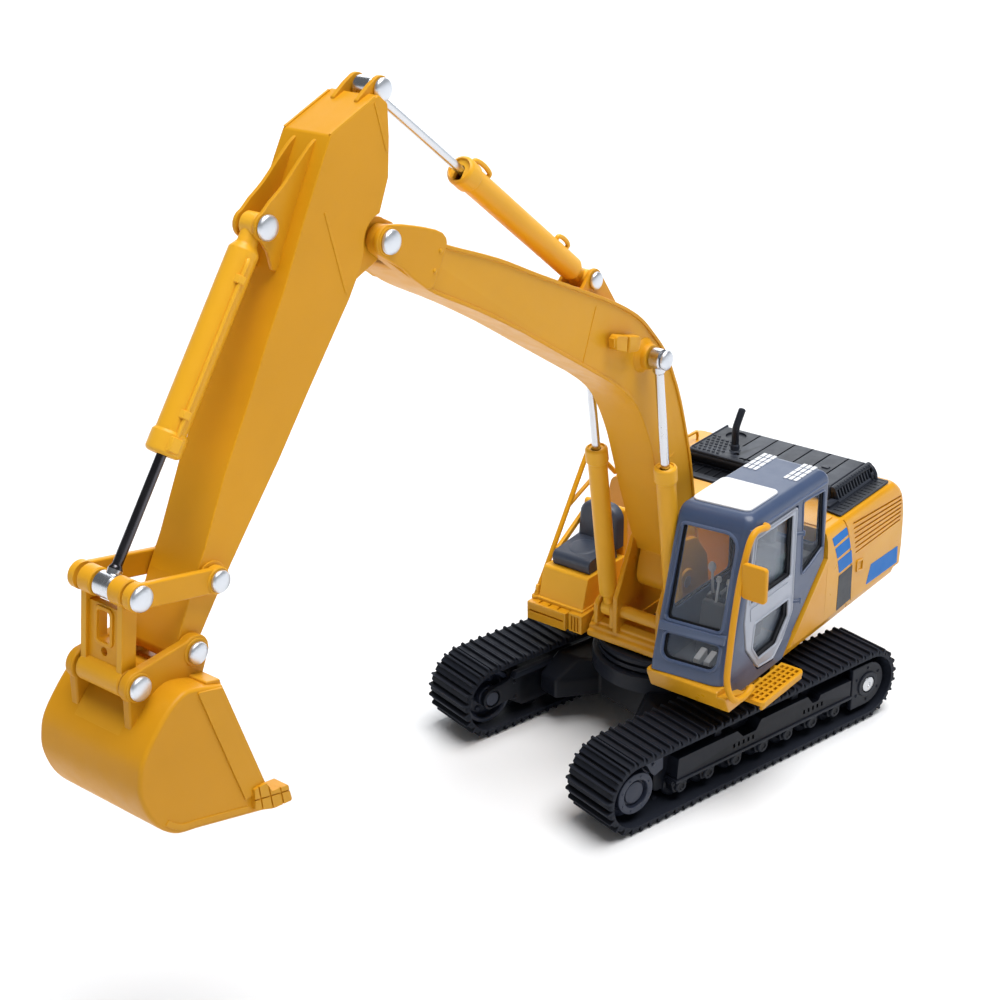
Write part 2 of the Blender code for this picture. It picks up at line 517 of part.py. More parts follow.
boom_b.node("arm_pivot_pin", headed_pin(P_NOSE, 1.3, 7.7, 2.4, 1.3), chrome)
boom_b.node("arm_cylinder_base_pin", headed_pin(P_AC_BASE, 1.0, 4.0, 2.2, 1.1), chrome)
boom_b.node("boom_cylinder_rod_pin", headed_pin(P_BC_ROD, 1.0, 12.4, 2.1, 1.2, twin=True), chrome)

# ---- boom cylinders
for side, s in (("left", 1), ("right", -1)):
    bar = Body("boom_barrel_axis_" + side, upper, in_plane(P_BC_BASE, s * CYL_Y))
    bar.node("boom_cylinder_barrel_" + side, barrel(P_BC_BASE, P_BC_ROD, BOOM_BARREL_L, BOOM_BARREL_R, BOOM_BORE, 2.3, 1.6, 1.3, 2.95, s * CYL_Y), paint)
    pis = Body("boom_rod_axis_" + side, boom_b, in_plane(P_BC_ROD, s * CYL_Y))
    pis.node("boom_cylinder_rod_" + side, piston(P_BC_BASE, P_BC_ROD, 36.0, BOOM_ROD_R, 2.5, 1.5, 1.3, s * CYL_Y), chrome)

# ---- arm
arm_b = Body("arm_axis", boom_b, in_plane(P_NOSE))
notch = arc(P_NOSE, 5.4, 84, -8, 8)
arm_pts = [(109.2, 189.4), (109.6, 182), (110.0, 175.5)] + notch + \
          [(119.2, 159.4), (122.5, 154.6), (134.6, 140.2), (143.6, 129.1), (152.4, 119.1), (159.7, 110.7), (166.9, 101.6)] + \
          arc(P_TIP, 3.2, 170, 370, 8) + \
          [(167.0, 113.0), (163.6, 118.6), (157.3, 131), (149.8, 143.1), (144.3, 152.9), (139.2, 161), (133, 172.5), (127.8, 181.5), (124.5, 186.4)]
arm = prism(arm_pts, -ARM_HW, ARM_HW)
join(arm, prism(arc(P_NOSE, 4.3, 100, 260, 8) + [(121, 156), (122, 170)], -4.0, 4.0))
head = arc(P_AC_ROD, 2.6, 185, 60, 6) + [(120, 188), (112, 184), (108.6, 186)]
bracket = arc(P_KC_BASE, 2.8, -60, 80, 6) + [(126.6, 185.6), (128.0, 178), (132, 172), (137.2, 162.5), (138.9, 164.0), (139.4, 167.5)]
for s in (1, -1):
    join(arm, prism(head, min(s * 2.4, s * 3.5), max(s * 2.4, s * 3.5)))
    join(arm, prism(bracket, min(s * 2.1, s * 3.0), max(s * 2.1, s * 3.0)))
cut(arm, cross_pin(P_NOSE, 1.6, 20), cross_pin(P_AC_ROD, 1.3, 20), cross_pin(P_KC_BASE, 1.3, 20),
    cross_pin(P_SIDE, 1.3, 20), cross_pin(P_TIP, 1.3, 20),
    prism([(101, 199), (101, 187.6), (112.0, 187.6), (112.0, 199)], -2.4, 2.4))
arm_b.node("arm", arm, paint)
arm_b.node("arm_cylinder_rod_pin", headed_pin(P_AC_ROD, 1.0, 3.7, 2.2, 1.1), chrome)
arm_b.node("bucket_cylinder_base_pin", headed_pin(P_KC_BASE, 1.0, 3.2, 2.3, 1.1), chrome)
arm_b.node("side_link_pin", headed_pin(P_SIDE, 1.0, 8.4, 2.0, 1.1), chrome)
arm_b.node("bucket_pin", headed_pin(P_TIP, 1.0, 8.6, 2.0, 1.1), chrome)

ab = Body("arm_barrel_axis", boom_b, in_plane(P_AC_BASE))
ab.node("arm_cylinder_barrel", barrel(P_AC_BASE, P_AC_ROD, ARM_BARREL_L, ARM_BARREL_R, ARM_BORE, 2.2, 2.4, 1.3, 3.3, neck=4.6), paint)
ar = Body("arm_rod_axis", arm_b, in_plane(P_AC_ROD))
ar.node("arm_cylinder_rod", piston(P_AC_BASE, P_AC_ROD, 49.0, ARM_ROD_R, 2.2, 2.1, 1.3), chrome)

# ---- bucket linkage
links = Body("side_link_axis", arm_b, in_plane(P_SIDE))
for side, s in (("left", 1), ("right", -1)):
    ang = math.degrees(math.atan2(P_LINK[1] - P_SIDE[1], P_LINK[0] - P_SIDE[0]))
    strap = arc(P_LINK, 2.6, ang - 90, ang + 90, 8) + arc(P_SIDE, 2.6, ang + 90, ang + 270, 8)
    piece = prism(strap, min(s * 6.5, s * 8.1), max(s * 6.5, s * 8.1))
    cut(piece, cross_pin(P_LINK, 1.3, 20), cross_pin(P_SIDE, 1.3, 20))
    links.node("side_link_" + side, piece, paint)
links.node("link_top_pin", headed_pin(P_LINK, 1.0, 8.4, 2.1, 1.1), chrome)

hl = Body("h_link_axis", links, in_plane(P_LINK))
d = (Vector(P_BLINK) - Vector(P_LINK)).normalized()
q = Vector((-d.y, d.x))
def along(t, w):
    v = Vector(P_LINK) + d * t + q * w
    return (v.x, v.y)
link_len = (Vector(P_BLINK) - Vector(P_LINK)).length
web = prism([along(3.3, -1.5), along(3.3, 1.5), along(link_len, 1.5), along(link_len, -1.5)], -HLINK_HW, HLINK_HW)
for s in (1, -1):
    join(web, prism([along(0, -1.6), along(0, 1.6), along(5, 1.6), along(5, -1.6)], min(s * 2.4, s * HLINK_HW), max(s * 2.4, s * HLINK_HW)))
    join(web, rod((P_LINK[0], s * 2.4, P_LINK[1]), (P_LINK[0], s * HLINK_HW, P_LINK[1]), 2.6, 16))
join(web, cross_pin(P_BLINK, 2.75, HLINK_HW, 18))
cut(web, cross_pin(P_LINK, 1.3, 20), cross_pin(P_BLINK, 1.85, 20, 18))
hl.node("h_link", web, paint)

kb = Body("bucket_barrel_axis", arm_b, in_plane(P_KC_BASE))
kb.node("bucket_cylinder_barrel", barrel(P_KC_BASE, P_LINK, KC_BARREL_L, KC_BARREL_R, KC_BORE, 2.4, 1.8, 1.3, 3.4, neck=4.6), paint)
kr = Body("bucket_rod_axis", links, in_plane(P_LINK))
kr.node("bucket_cylinder_rod", piston(P_KC_BASE, P_LINK, 37.0, KC_ROD_R, 2.4, 2.0, 1.3), chrome)

# ---- bucket: side plates and a curved back, open towards the machine
bk = Body("bucket_axis", arm_b, in_plane(P_TIP))
out = [(168.6, 95.2), (161.1, 69.7), (156.2, 68), (155, 63.7), (159.1, 63.4), (164.3, 65.1), (177.1, 69.6), (182.6, 71.4),
       (187.0, 75.9), (189.2, 81.4), (189.1, 85.4), (187.4, 89.7), (182.2, 95.0), (178.4, 97.4), (175.4, 97.4)]
inn = [(140, 90.5), (169.2, 93.7), (175.6, 95.8), (178.0, 95.8), (181.2, 93.8), (186.0, 88.8), (187.5, 85.2), (187.6, 81.4),
       (185.6, 76.7), (182.0, 73.0), (176.6, 71.2), (163.8, 66.8), (140, 59.4)]
bucket = cut(prism(out, -BUCKET_HW, BUCKET_HW), prism(inn, -BUCKET_HW + 1.6, BUCKET_HW - 1.6))
ear = [(166.6, 101.0)] + arc(P_TIP, 3.3, 150, 60, 4) + arc(P_BLINK, 3.1, 90, -40, 5) + [(184.5, 91.9), (182.6, 94.0), (178.2, 96.6), (175.6, 96.6), (169.6, 94.6)]
for s in (1, -1):
    join(bucket, prism(ear, min(s * 6.5, s * 8.3), max(s * 6.5, s * 8.3)))
cut(bucket, cross_pin(P_TIP, 1.3, 20), cross_pin(P_BLINK, 1.1, 20))
bk.node("bucket", bucket, paint)
bk.node("bucket_link_pin", headed_pin(P_BLINK, 0.8, 8.6, 2.0, 1.1), chrome)
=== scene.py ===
"""Looks of a toy crawler excavator: every visible surface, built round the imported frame.

Lengths are millimetres until a piece is placed.  Pieces of the upper machine use x from the
slew axis, y from the boom's plane and z from the ground; undercarriage pieces use the same
origin turned to the tracks' own heading.
"""

import math

import bmesh
import bpy
from mathutils import Matrix, Vector


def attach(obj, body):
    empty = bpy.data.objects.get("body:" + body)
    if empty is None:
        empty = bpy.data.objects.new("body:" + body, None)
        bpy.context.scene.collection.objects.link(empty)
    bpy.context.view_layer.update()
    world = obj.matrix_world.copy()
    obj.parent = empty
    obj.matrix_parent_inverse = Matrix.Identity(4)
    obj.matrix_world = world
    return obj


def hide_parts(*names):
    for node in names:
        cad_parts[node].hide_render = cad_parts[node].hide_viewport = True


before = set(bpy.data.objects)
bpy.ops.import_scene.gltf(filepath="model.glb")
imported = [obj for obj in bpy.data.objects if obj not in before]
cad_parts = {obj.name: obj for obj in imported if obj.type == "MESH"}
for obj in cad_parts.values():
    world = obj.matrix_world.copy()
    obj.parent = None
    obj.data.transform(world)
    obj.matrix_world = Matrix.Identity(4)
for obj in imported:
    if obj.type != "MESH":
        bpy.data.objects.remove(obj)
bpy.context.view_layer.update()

MM = 0.001
ORIGIN_X, BOOM_Y, SWING_DEG = -59.7, 1.36, -13.7
UPPER = Matrix.Translation((ORIGIN_X * MM, BOOM_Y * MM, 0)) @ Matrix.Scale(MM, 4)
UNDER = Matrix.Translation((ORIGIN_X * MM, 0, 0)) @ Matrix.Rotation(math.radians(SWING_DEG), 4, "Z") @ Matrix.Scale(MM, 4)

# undercarriage
TRACK_Y, SHOE_W, WHEEL_X, WHEEL_Z = 29.25, 16.5, 41.95, 10.7
IN_Y, OUT_Y = TRACK_Y - SHOE_W / 2, TRACK_Y + SHOE_W / 2

# pivots in the boom's plane (x, z)
P_FOOT, P_BC_BASE, P_BC_ROD = (4.0, 46.0), (12.8, 36.5), (23.4, 114.2)
P_NOSE, P_AC_BASE, P_AC_ROD = (112.3, 163.7), (40.1, 136.6), (108.2, 191.3)
P_KC_BASE, P_SIDE, P_LINK = (139.6, 172.1), (162.8, 112.4), (181.0, 116.5)
P_TIP, P_BLINK = (169.9, 100.8), (183.6, 99.8)
CYL_Y = 10.4
CAB_Y0, CAB_Y1, CAB_TOP = 13.2, 33.3, 75.1


# ------------------------------------------------------------------ outlines
def arc(c, r, a0, a1, n):
    return [(c[0] + r * math.cos(math.radians(a0 + (a1 - a0) * k / n)),
             c[1] + r * math.sin(math.radians(a0 + (a1 - a0) * k / n))) for k in range(n + 1)]


def rounded(pts, r=0.0, n=5):
    """A closed outline with its corners rounded; a third number on a point is its own radius."""
    out, m = [], len(pts)
    for i in range(m):
        p, a, b = Vector(pts[i][:2]), Vector(pts[i - 1][:2]), Vector(pts[(i + 1) % m][:2])
        ri = pts[i][2] if len(pts[i]) > 2 else r
        u, v = (a - p), (b - p)
        lu, lv = u.length, v.length
        u.normalize()
        v.normalize()
        ang = u.angle(v)
        if ri <= 0 or ang > math.pi - 0.02:
            out.append((p.x, p.y))
            continue
        t = min(ri / math.tan(ang / 2), 0.48 * lu, 0.48 * lv)
        ri = t * math.tan(ang / 2)
        c = p + (u + v).normalized() * (ri / math.sin(ang / 2))
        s0, s1 = p + u * t - c, p + v * t - c
        a0, a1 = math.atan2(s0.y, s0.x), math.atan2(s1.y, s1.x)
        d = (a1 - a0 + math.pi) % (2 * math.pi) - math.pi
        out += [(c.x + ri * math.cos(a0 + d * k / n), c.y + ri * math.sin(a0 + d * k / n)) for k in range(n + 1)]
    return out


def spline(pts, per=5):
    """A smooth curve through points of any dimension, ends kept."""
    p = [Vector(q) for q in pts]
    p = [p[0] * 2 - p[1]] + p + [p[-1] * 2 - p[-2]]
    out = []
    for i in range(1, len(p) - 2):
        for k in range(per):
            t = k / per
            a, b, c, d = p[i - 1], p[i], p[i + 1], p[i + 2]
            out.append(tuple(0.5 * ((2 * b) + (c - a) * t + (2 * a - 5 * b + 4 * c - d) * t * t + (3 * b - a - 3 * c + d) * t ** 3)))
    out.append(tuple(p[-2]))
    return out


def inset(pts, d):
    """A closed outline moved inwards by d."""
    n = len(pts)
    area = sum(pts[i][0] * pts[(i + 1) % n][1] - pts[(i + 1) % n][0] * pts[i][1] for i in range(n))
    s = 1 if area > 0 else -1
    out = []
    for i in range(n):
        p, a, b = Vector(pts[i]), Vector(pts[i - 1]), Vector(pts[(i + 1) % n])
        e0, e1 = (p - a), (b - p)
        if e0.length < 1e-6 or e1.length < 1e-6:
            out.append((p.x, p.y))
            continue
        e0.normalize()
        e1.normalize()
        n0, n1 = Vector((-e0.y, e0.x)) * s, Vector((-e1.y, e1.x)) * s
        m = n0 + n1
        k = d / max(0.35, m.length_squared / 2)
        out.append((p.x + m.x * k, p.y + m.y * k))
    return out


# ------------------------------------------------------------------ meshes
def mesh(verts, faces, mat=0):
    bm = bmesh.new()
    vs = [bm.verts.new(v) for v in verts]
    for f in faces:
        bm.faces.new([vs[i] for i in f])
    bmesh.ops.recalc_face_normals(bm, faces=bm.faces)
    return paint(bm, mat)


def paint(bm, mat):
    for f in bm.faces:
        f.material_index = mat
    return bm


def bevel(bm, width, seg=2, ang=28, keep=None):
    lim = math.radians(ang)
    es = [e for e in bm.edges if len(e.link_faces) == 2 and e.calc_face_angle(0.0) > lim and (keep is None or keep(e))]
    if es:
        bmesh.ops.bevel(bm, geom=es, offset=width, offset_type="OFFSET", segments=seg, profile=0.5, affect="EDGES", clamp_overlap=True)
    return bm


def place(p, t, axis):
    return (p[0], t, p[1]) if axis == "y" else (p[0], p[1], t) if axis == "z" else (t, p[0], p[1])


def prism(pts, lo, hi, axis="y", bev=0.0, seg=2, mat=0, ang=28):
    """A flat outline pushed from lo to hi: (x, z) for y, (x, y) for z, (y, z) for x."""
    n = len(pts)
    verts = [place(p, lo, axis) for p in pts] + [place(p, hi, axis) for p in pts]
    faces = [tuple(range(n)), tuple(range(2 * n - 1, n - 1, -1))]
    faces += [(i, (i + 1) % n, n + (i + 1) % n, n + i) for i in range(n)]
    bm = mesh(verts, faces, mat)
    return bevel(bm, bev, seg, ang) if bev else bm


def band(outer, inner, lo, hi, axis="y", bev=0.0, seg=2, mat=0):
    """The strip between two outlines of equal count, pushed from lo to hi."""
    n = len(outer)
    verts = [place(p, t, axis) for t in (lo, hi) for loop in (outer, inner) for p in loop]
    faces = []
    for i in range(n):
        j = (i + 1) % n
        o0, o1, i0, i1 = i, j, n + i, n + j
        faces += [(o0, o1, i1, i0), (2 * n + o0, 2 * n + i0, 2 * n + i1, 2 * n + o1),
                  (o0, 2 * n + o0, 2 * n + o1, o1), (i0, i1, 2 * n + i1, 2 * n + i0)]
    bm = mesh(verts, faces, mat)
    return bevel(bm, bev, seg) if bev else bm


def box(x0, x1, y0, y1, z0, z1, bev=0.0, seg=2, mat=0):
    return prism([(x0, y0), (x1, y0), (x1, y1), (x0, y1)], z0, z1, "z", bev, seg, mat)


def loft(rings, mat=0, caps=True):
    n = len(rings[0])
    verts = [p for r in rings for p in r]
    faces = [(k * n + i, k * n + (i + 1) % n, (k + 1) * n + (i + 1) % n, (k + 1) * n + i)
             for k in range(len(rings) - 1) for i in range(n)]
    if caps:
        faces += [tuple(range(n - 1, -1, -1)), tuple(range((len(rings) - 1) * n, len(rings) * n))]
    return mesh(verts, faces, mat)


def axes_of(direction):
    d = Vector(direction).normalized()
    ref = Vector((0, 0, 1)) if abs(d.z) < 0.9 else Vector((1, 0, 0))
    u = d.cross(ref).normalized()
    return d, u, d.cross(u)


def lathe(profile, origin, direction, n=28, mat=0):
    """A turned solid from (radius, distance) pairs; closed on itself unless it meets the axis."""
    d, u, w = axes_of(direction)
    o = Vector(origin)
    verts, rings = [], []
    for r, t in profile:
        if r < 1e-6:
            rings.append([len(verts)])
            verts.append(o + d * t)
        else:
            rings.append(list(range(len(verts), len(verts) + n)))
            verts += [o + d * t + (u * math.cos(2 * math.pi * k / n) + w * math.sin(2 * math.pi * k / n)) * r for k in range(n)]
    pairs = list(zip(rings, rings[1:]))
    if len(rings[0]) > 1 and len(rings[-1]) > 1:
        pairs.append((rings[-1], rings[0]))
    faces = []
    for a, b in pairs:
        for k in range(n):
            k2 = (k + 1) % n
            if len(a) == 1 and len(b) == 1:
                continue
            if len(a) == 1:
                faces.append((a[0], b[k], b[k2]))
            elif len(b) == 1:
                faces.append((a[k], b[0], a[k2]))
            else:
                faces.append((a[k], b[k], b[k2], a[k2]))
    return mesh([tuple(v) for v in verts], faces, mat)


def rod(p0, p1, r, n=24, cham=0.0, mat=0):
    d = Vector(p1) - Vector(p0)
    L = d.length
    prof = [(0, 0), (r - cham, 0), (r, cham), (r, L - cham), (r - cham, L), (0, L)] if cham else [(0, 0), (r, 0), (r, L), (0, L)]
    return lathe(prof, p0, d, n, mat)


def cross(p, r, y0, y1, n=24, cham=0.0, mat=0):
    return rod((p[0], y0, p[1]), (p[0], y1, p[1]), r, n, cham, mat)


def dome(p, d, r, h, n=16, mat=0):
    """A low rounded button standing on a face."""
    return lathe([(0, -0.3), (r, -0.3), (r, h * 0.25), (r * 0.86, h * 0.65), (r * 0.5, h * 0.93), (0, h)], p, d, n, mat)


def tube(path, r, n=14, smooth=0, mat=0, flat=1.0, closed=False):
    """A round bar along a path; flat squashes it along its own second axis."""
    pts = [Vector(p) for p in (spline(path, smooth) if smooth and not closed else path)]
    m = len(pts)
    rings, side = [], None
    for i, p in enumerate(pts):
        if closed:
            t = ((p - pts[i - 1]).normalized() + (pts[(i + 1) % m] - p).normalized()).normalized()
        elif i == 0:
            t = (pts[1] - p).normalized()
        elif i == m - 1:
            t = (p - pts[i - 1]).normalized()
        else:
            t = ((p - pts[i - 1]).normalized() + (pts[i + 1] - p).normalized()).normalized()
        if side is None:
            ref = Vector((0, 0, 1)) if abs(t.z) < 0.9 else Vector((0, 1, 0))
            side = t.cross(ref).normalized()
        else:
            side = (side - t * side.dot(t)).normalized()
        up = t.cross(side)
        ks = [2 * math.pi * k / n for k in range(n)]
        if not closed and i in (0, m - 1):
            e = -t if i == 0 else t
            out = [tuple(p + (side * math.cos(a) + up * math.sin(a) * flat) * r * 0.72 + e * r * 0.22) for a in ks]
            ring = [tuple(p + (side * math.cos(a) + up * math.sin(a) * flat) * r) for a in ks]
            rings += [out, ring] if i == 0 else [ring, out]
        else:
            rings.append([tuple(p + (side * math.cos(a) + up * math.sin(a) * flat) * r) for a in ks])
    if closed:
        k = len(rings)
        verts = [p for q in rings for p in q]
        # the last ring meets the first turned by whole steps, whichever lies nearest
        first = Vector(rings[0][0])
        last = rings[-1]
        shift = min(range(n), key=lambda s: (Vector(last[s]) - first).length)
        faces = [(j * n + i, j * n + (i + 1) % n, (j + 1) * n + (i + 1) % n, (j + 1) * n + i) for j in range(k - 1) for i in range(n)]
        faces += [((k - 1) * n + (i + shift) % n, (k - 1) * n + (i + 1 + shift) % n, (i + 1) % n, i) for i in range(n)]
        return mesh(verts, faces, mat)
    return loft(rings, mat)


def group(*parts):
    out = bmesh.new()
    for p in parts:
        me = bpy.data.meshes.new("part")
        p.to_mesh(me)
        out.from_mesh(me)
        p.free()
        bpy.data.meshes.remove(me)
    return out


def flip(bm):
    """The same shape on the other side of the middle plane."""
    for v in bm.verts:
        v.co.y = -v.co.y
    bmesh.ops.reverse_faces(bm, faces=bm.faces)
    return bm


def both(bm):
    """A shape and its mirror image."""
    return group(bm.copy(), flip(bm))


def move(bm, fn):
    for v in bm.verts:
        v.co = Vector(fn(v.co))
    bmesh.ops.recalc_face_normals(bm, faces=bm.faces)
    return bm


def as_object(bm):
    me = bpy.data.meshes.new("tool")
    bm.to_mesh(me)
    bm.free()
    ob = bpy.data.objects.new("tool", me)
    bpy.context.scene.collection.objects.link(ob)
    return ob


def boolean(a, b, op):
    oa, ob = as_object(a), as_object(b)
    mod = oa.modifiers.new("b", "BOOLEAN")
    mod.operation, mod.solver, mod.object = op, "EXACT", ob
    bpy.context.view_layer.update()
    me = bpy.data.meshes.new_from_object(oa.evaluated_get(bpy.context.evaluated_depsgraph_get()))
    out = bmesh.new()
    out.from_mesh(me)
    bpy.data.meshes.remove(me)
    for o in (oa, ob):
        d = o.data
        bpy.data.objects.remove(o, do_unlink=True)
        bpy.data.meshes.remove(d)
    bmesh.ops.remove_doubles(out, verts=out.verts, dist=2e-4)
    bmesh.ops.dissolve_degenerate(out, edges=out.edges, dist=2e-4)
    return out


def cut(a, *tools):
    for t in tools:
        a = boolean(a, t, "DIFFERENCE")
    return a


def unite(a, *others):
    for b in others:
        a = boolean(a, b, "UNION")
    return a


# ------------------------------------------------------------------ materials
def _noise(nt, scale, detail=2.0, rough=0.5, stretch=None):
    n = nt.nodes.new("ShaderNodeTexNoise")
    n.inputs["Scale"].default_value = scale
    n.inputs["Detail"].default_value = detail
    n.inputs["Roughness"].default_value = rough
    src = nt.nodes.get("coords") or nt.nodes.new("ShaderNodeTexCoord")
    src.name = "coords"
    if stretch:
        mp = nt.nodes.new("ShaderNodeMapping")
        mp.inputs["Scale"].default_value = stretch
        nt.links.new(src.outputs["Object"], mp.inputs["Vector"])
        nt.links.new(mp.outputs["Vector"], n.inputs["Vector"])
    else:
        nt.links.new(src.outputs["Object"], n.inputs["Vector"])
    return n.outputs["Fac"]


def _range(nt, value, a, b, lo, hi):
    m = nt.nodes.new("ShaderNodeMapRange")
    m.inputs["From Min"].default_value, m.inputs["From Max"].default_value = a, b
    m.inputs["To Min"].default_value, m.inputs["To Max"].default_value = lo, hi
    nt.links.new(value, m.inputs["Value"])
    return m.outputs["Result"]


def _mix(nt, fac, a, b):
    m = nt.nodes.new("ShaderNodeMix")
    m.data_type = "RGBA"
    nt.links.new(fac, m.inputs[0])
    for sock, v in ((m.inputs[6], a), (m.inputs[7], b)):
        if isinstance(v, tuple):
            sock.default_value = (*v, 1.0)
        else:
            nt.links.new(v, sock)
    return m.outputs[2]


def finish(name, colour, rough, metal=0.0, var=0.05, rough_var=0.06, cloud=45.0, grain=1500.0, bump=0.05, bump_mm=0.06,
           coat=0.0, coat_rough=0.12, spec=0.5, alpha=1.0, edge=None, edge_highlight_mix=0.3, dust=None, dust_mix=0.3, stretch=None):
    """A moulded, painted or plated surface: cloudy colour, uneven gloss, a fine skin, edges lightened as a painted
    highlight, and settled dust.
    """
    m = bpy.data.materials.new(name)
    m.use_nodes = True
    nt = m.node_tree
    b = nt.nodes["Principled BSDF"]
    b.inputs["Metallic"].default_value = metal
    b.inputs["Specular IOR Level"].default_value = spec
    b.inputs["Coat Weight"].default_value = coat
    b.inputs["Coat Roughness"].default_value = coat_rough
    b.inputs["Alpha"].default_value = alpha
    low = tuple(max(0.0, c * (1 - var)) for c in colour)
    high = tuple(min(1.0, c * (1 + var)) for c in colour)
    col = _mix(nt, _range(nt, _noise(nt, cloud, 3.0, 0.55), 0.3, 0.7, 0.0, 1.0), low, high)
    # painted highlight: convex edges, found by pointiness, are lightened towards the edge colour as if they caught the
    # light
    if edge:
        g = nt.nodes.new("ShaderNodeNewGeometry")
        f = _range(nt, g.outputs["Pointiness"], 0.515, 0.60, 0.0, edge_highlight_mix)
        col = _mix(nt, f, col, edge)
    if dust:
        sp = nt.nodes.new("ShaderNodeSeparateXYZ")
        nt.links.new(nt.nodes["coords"].outputs["Normal"], sp.inputs["Vector"])
        up = _range(nt, sp.outputs["Z"], 0.2, 1.0, 0.0, dust_mix)
        mul = nt.nodes.new("ShaderNodeMath")
        mul.operation = "MULTIPLY"
        nt.links.new(up, mul.inputs[0])
        nt.links.new(_range(nt, _noise(nt, 160.0, 4.0, 0.65), 0.35, 0.7, 0.0, 1.0), mul.inputs[1])
        col = _mix(nt, mul.outputs["Value"], col, dust)
    nt.links.new(col, b.inputs["Base Color"])
    r = _range(nt, _noise(nt, 260.0, 3.0, 0.6, stretch), 0.3, 0.7, max(0.02, rough - rough_var), rough + rough_var)
    nt.links.new(r, b.inputs["Roughness"])
    bp = nt.nodes.new("ShaderNodeBump")
    bp.inputs["Strength"].default_value = bump
    bp.inputs["Distance"].default_value = bump_mm * MM
    nt.links.new(_noise(nt, grain, 2.0, 0.5, stretch), bp.inputs["Height"])
    nt.links.new(bp.outputs["Normal"], b.inputs["Normal"])
    return m


# every edge colour given below is a painted highlight, a lighter tone of its own surface
YEL = (0.652, 0.290, 0.0060)
yellow = finish("yellow_plastic", YEL, 0.40, var=0.04, spec=0.20, edge=(0.76, 0.42, 0.04), edge_highlight_mix=0.35, bump=0.05, grain=900)
# a lighter copy of the body yellow: painted highlight for the stronger light on the cylinder barrels and the tool box
# front
lit_yellow = finish("yellow_plastic_painted_lighter", (0.79, 0.385, 0.017), 0.38, var=0.04, spec=0.26, edge=(0.84, 0.50, 0.06), edge_highlight_mix=0.35, bump=0.05, grain=900)
# a darker copy of the body yellow: painted shade laid over the whole bucket
shaded_bucket_yellow = finish("bucket_plastic_painted_darker", (0.585, 0.258, 0.0065), 0.42, var=0.04, spec=0.18, edge=(0.68, 0.37, 0.035), edge_highlight_mix=0.35, bump=0.05, grain=900)
diecast = finish("yellow_paint", YEL, 0.33, var=0.045, spec=0.32, coat=0.12, coat_rough=0.16, edge=(0.76, 0.42, 0.04), edge_highlight_mix=0.35, bump=0.06, grain=700)
cab_blue = finish("cab_plastic", (0.038, 0.061, 0.124), 0.34, var=0.07, spec=0.35, coat=0.15, coat_rough=0.2, edge=(0.16, 0.20, 0.31), edge_highlight_mix=0.4, bump=0.05, grain=1300)
charcoal = finish("charcoal_plastic", (0.0078, 0.0100, 0.0165), 0.44, var=0.12, spec=0.30, edge=(0.065, 0.075, 0.10), edge_highlight_mix=0.4, bump=0.10, grain=2200)
wheel_pl = finish("wheel_plastic", (0.020, 0.025, 0.043), 0.40, var=0.12, spec=0.32, edge=(0.08, 0.095, 0.14), edge_highlight_mix=0.4, bump=0.08, grain=1800)
black_pl = finish("black_plastic", (0.0042, 0.0052, 0.009), 0.42, var=0.14, spec=0.20, edge=(0.035, 0.042, 0.062), edge_highlight_mix=0.35, bump=0.08, grain=1800, dust=(0.03, 0.03, 0.036), dust_mix=0.04)
rubber = finish("track_rubber", (0.0030, 0.0036, 0.006), 0.52, var=0.16, rough_var=0.09, spec=0.11, edge=(0.036, 0.042, 0.06), edge_highlight_mix=0.45, bump=0.2, grain=2600, bump_mm=0.05, dust=(0.03, 0.03, 0.036), dust_mix=0.04)
chrome = finish("chrome_plate", (0.66, 0.67, 0.70), 0.24, metal=1.0, var=0.03, rough_var=0.05, bump=0.02, grain=500)
pin_plate = finish("pin_plate", (0.70, 0.725, 0.77), 0.40, metal=0.9, var=0.04, rough_var=0.06, bump=0.03, grain=700, edge=(0.85, 0.87, 0.9), edge_highlight_mix=0.3)
gunmetal = finish("dark_plate", (0.085, 0.08, 0.088), 0.26, metal=1.0, var=0.06, rough_var=0.06, bump=0.03, grain=600)
steel = finish("steel", (0.55, 0.56, 0.58), 0.30, metal=1.0, var=0.06, rough_var=0.07, bump=0.05, grain=900, stretch=(1, 1, 6))
silver = finish("door_plastic", (0.33, 0.355, 0.425), 0.34, metal=0.2, var=0.05, bump=0.04, grain=1500, edge=(0.62, 0.65, 0.70), edge_highlight_mix=0.3)
white = finish("white_print", (0.65, 0.665, 0.69), 0.36, var=0.015, bump=0.03, grain=1400)
seat_pl = finish("seat_plastic", (0.030, 0.040, 0.066), 0.46, var=0.12, edge=(0.085, 0.105, 0.145), edge_highlight_mix=0.4, bump=0.2, grain=2400)
trim = finish("cab_trim", (0.055, 0.06, 0.072), 0.5, var=0.1, bump=0.15, grain=2400)
teal = finish("teal_plastic", (0.012, 0.12, 0.10), 0.4, var=0.1, bump=0.08, grain=1800)
pale = finish("pale_plastic", (0.55, 0.56, 0.57), 0.38, var=0.04, bump=0.05, grain=1600)
print_blue = finish("blue_print", (0.0030, 0.150, 0.500), 0.40, var=0.05, spec=0.12, bump=0.03, grain=1200)
print_dark = finish("dark_print", (0.016, 0.020, 0.030), 0.38, var=0.06, spec=0.3, bump=0.03, grain=1200)
gasket = finish("black_gasket", (0.006, 0.007, 0.010), 0.55, var=0.15, spec=0.2, bump=0.1, grain=2600)
# pane colours: a pale blue-grey shown through low alpha, partly the plastic's own tint and partly a painted reflection
# of the bright studio; the door pane below carries more of it
clear = finish("clear_plastic", (0.42, 0.48, 0.57), 0.06, var=0.03, rough_var=0.02, bump=0.015, grain=220, alpha=0.07, spec=0.6, coat=0.8, coat_rough=0.03)
pale_reflection_pane = finish("pane_plastic_painted_reflection", (0.46, 0.53, 0.64), 0.10, var=0.04, rough_var=0.03, bump=0.015, grain=220, alpha=0.24, spec=0.6, coat=0.8, coat_rough=0.04)
mirror_face = finish("mirror_face", (0.80, 0.82, 0.85), 0.06, metal=1.0, var=0.02, rough_var=0.03, bump=0.01, grain=300)


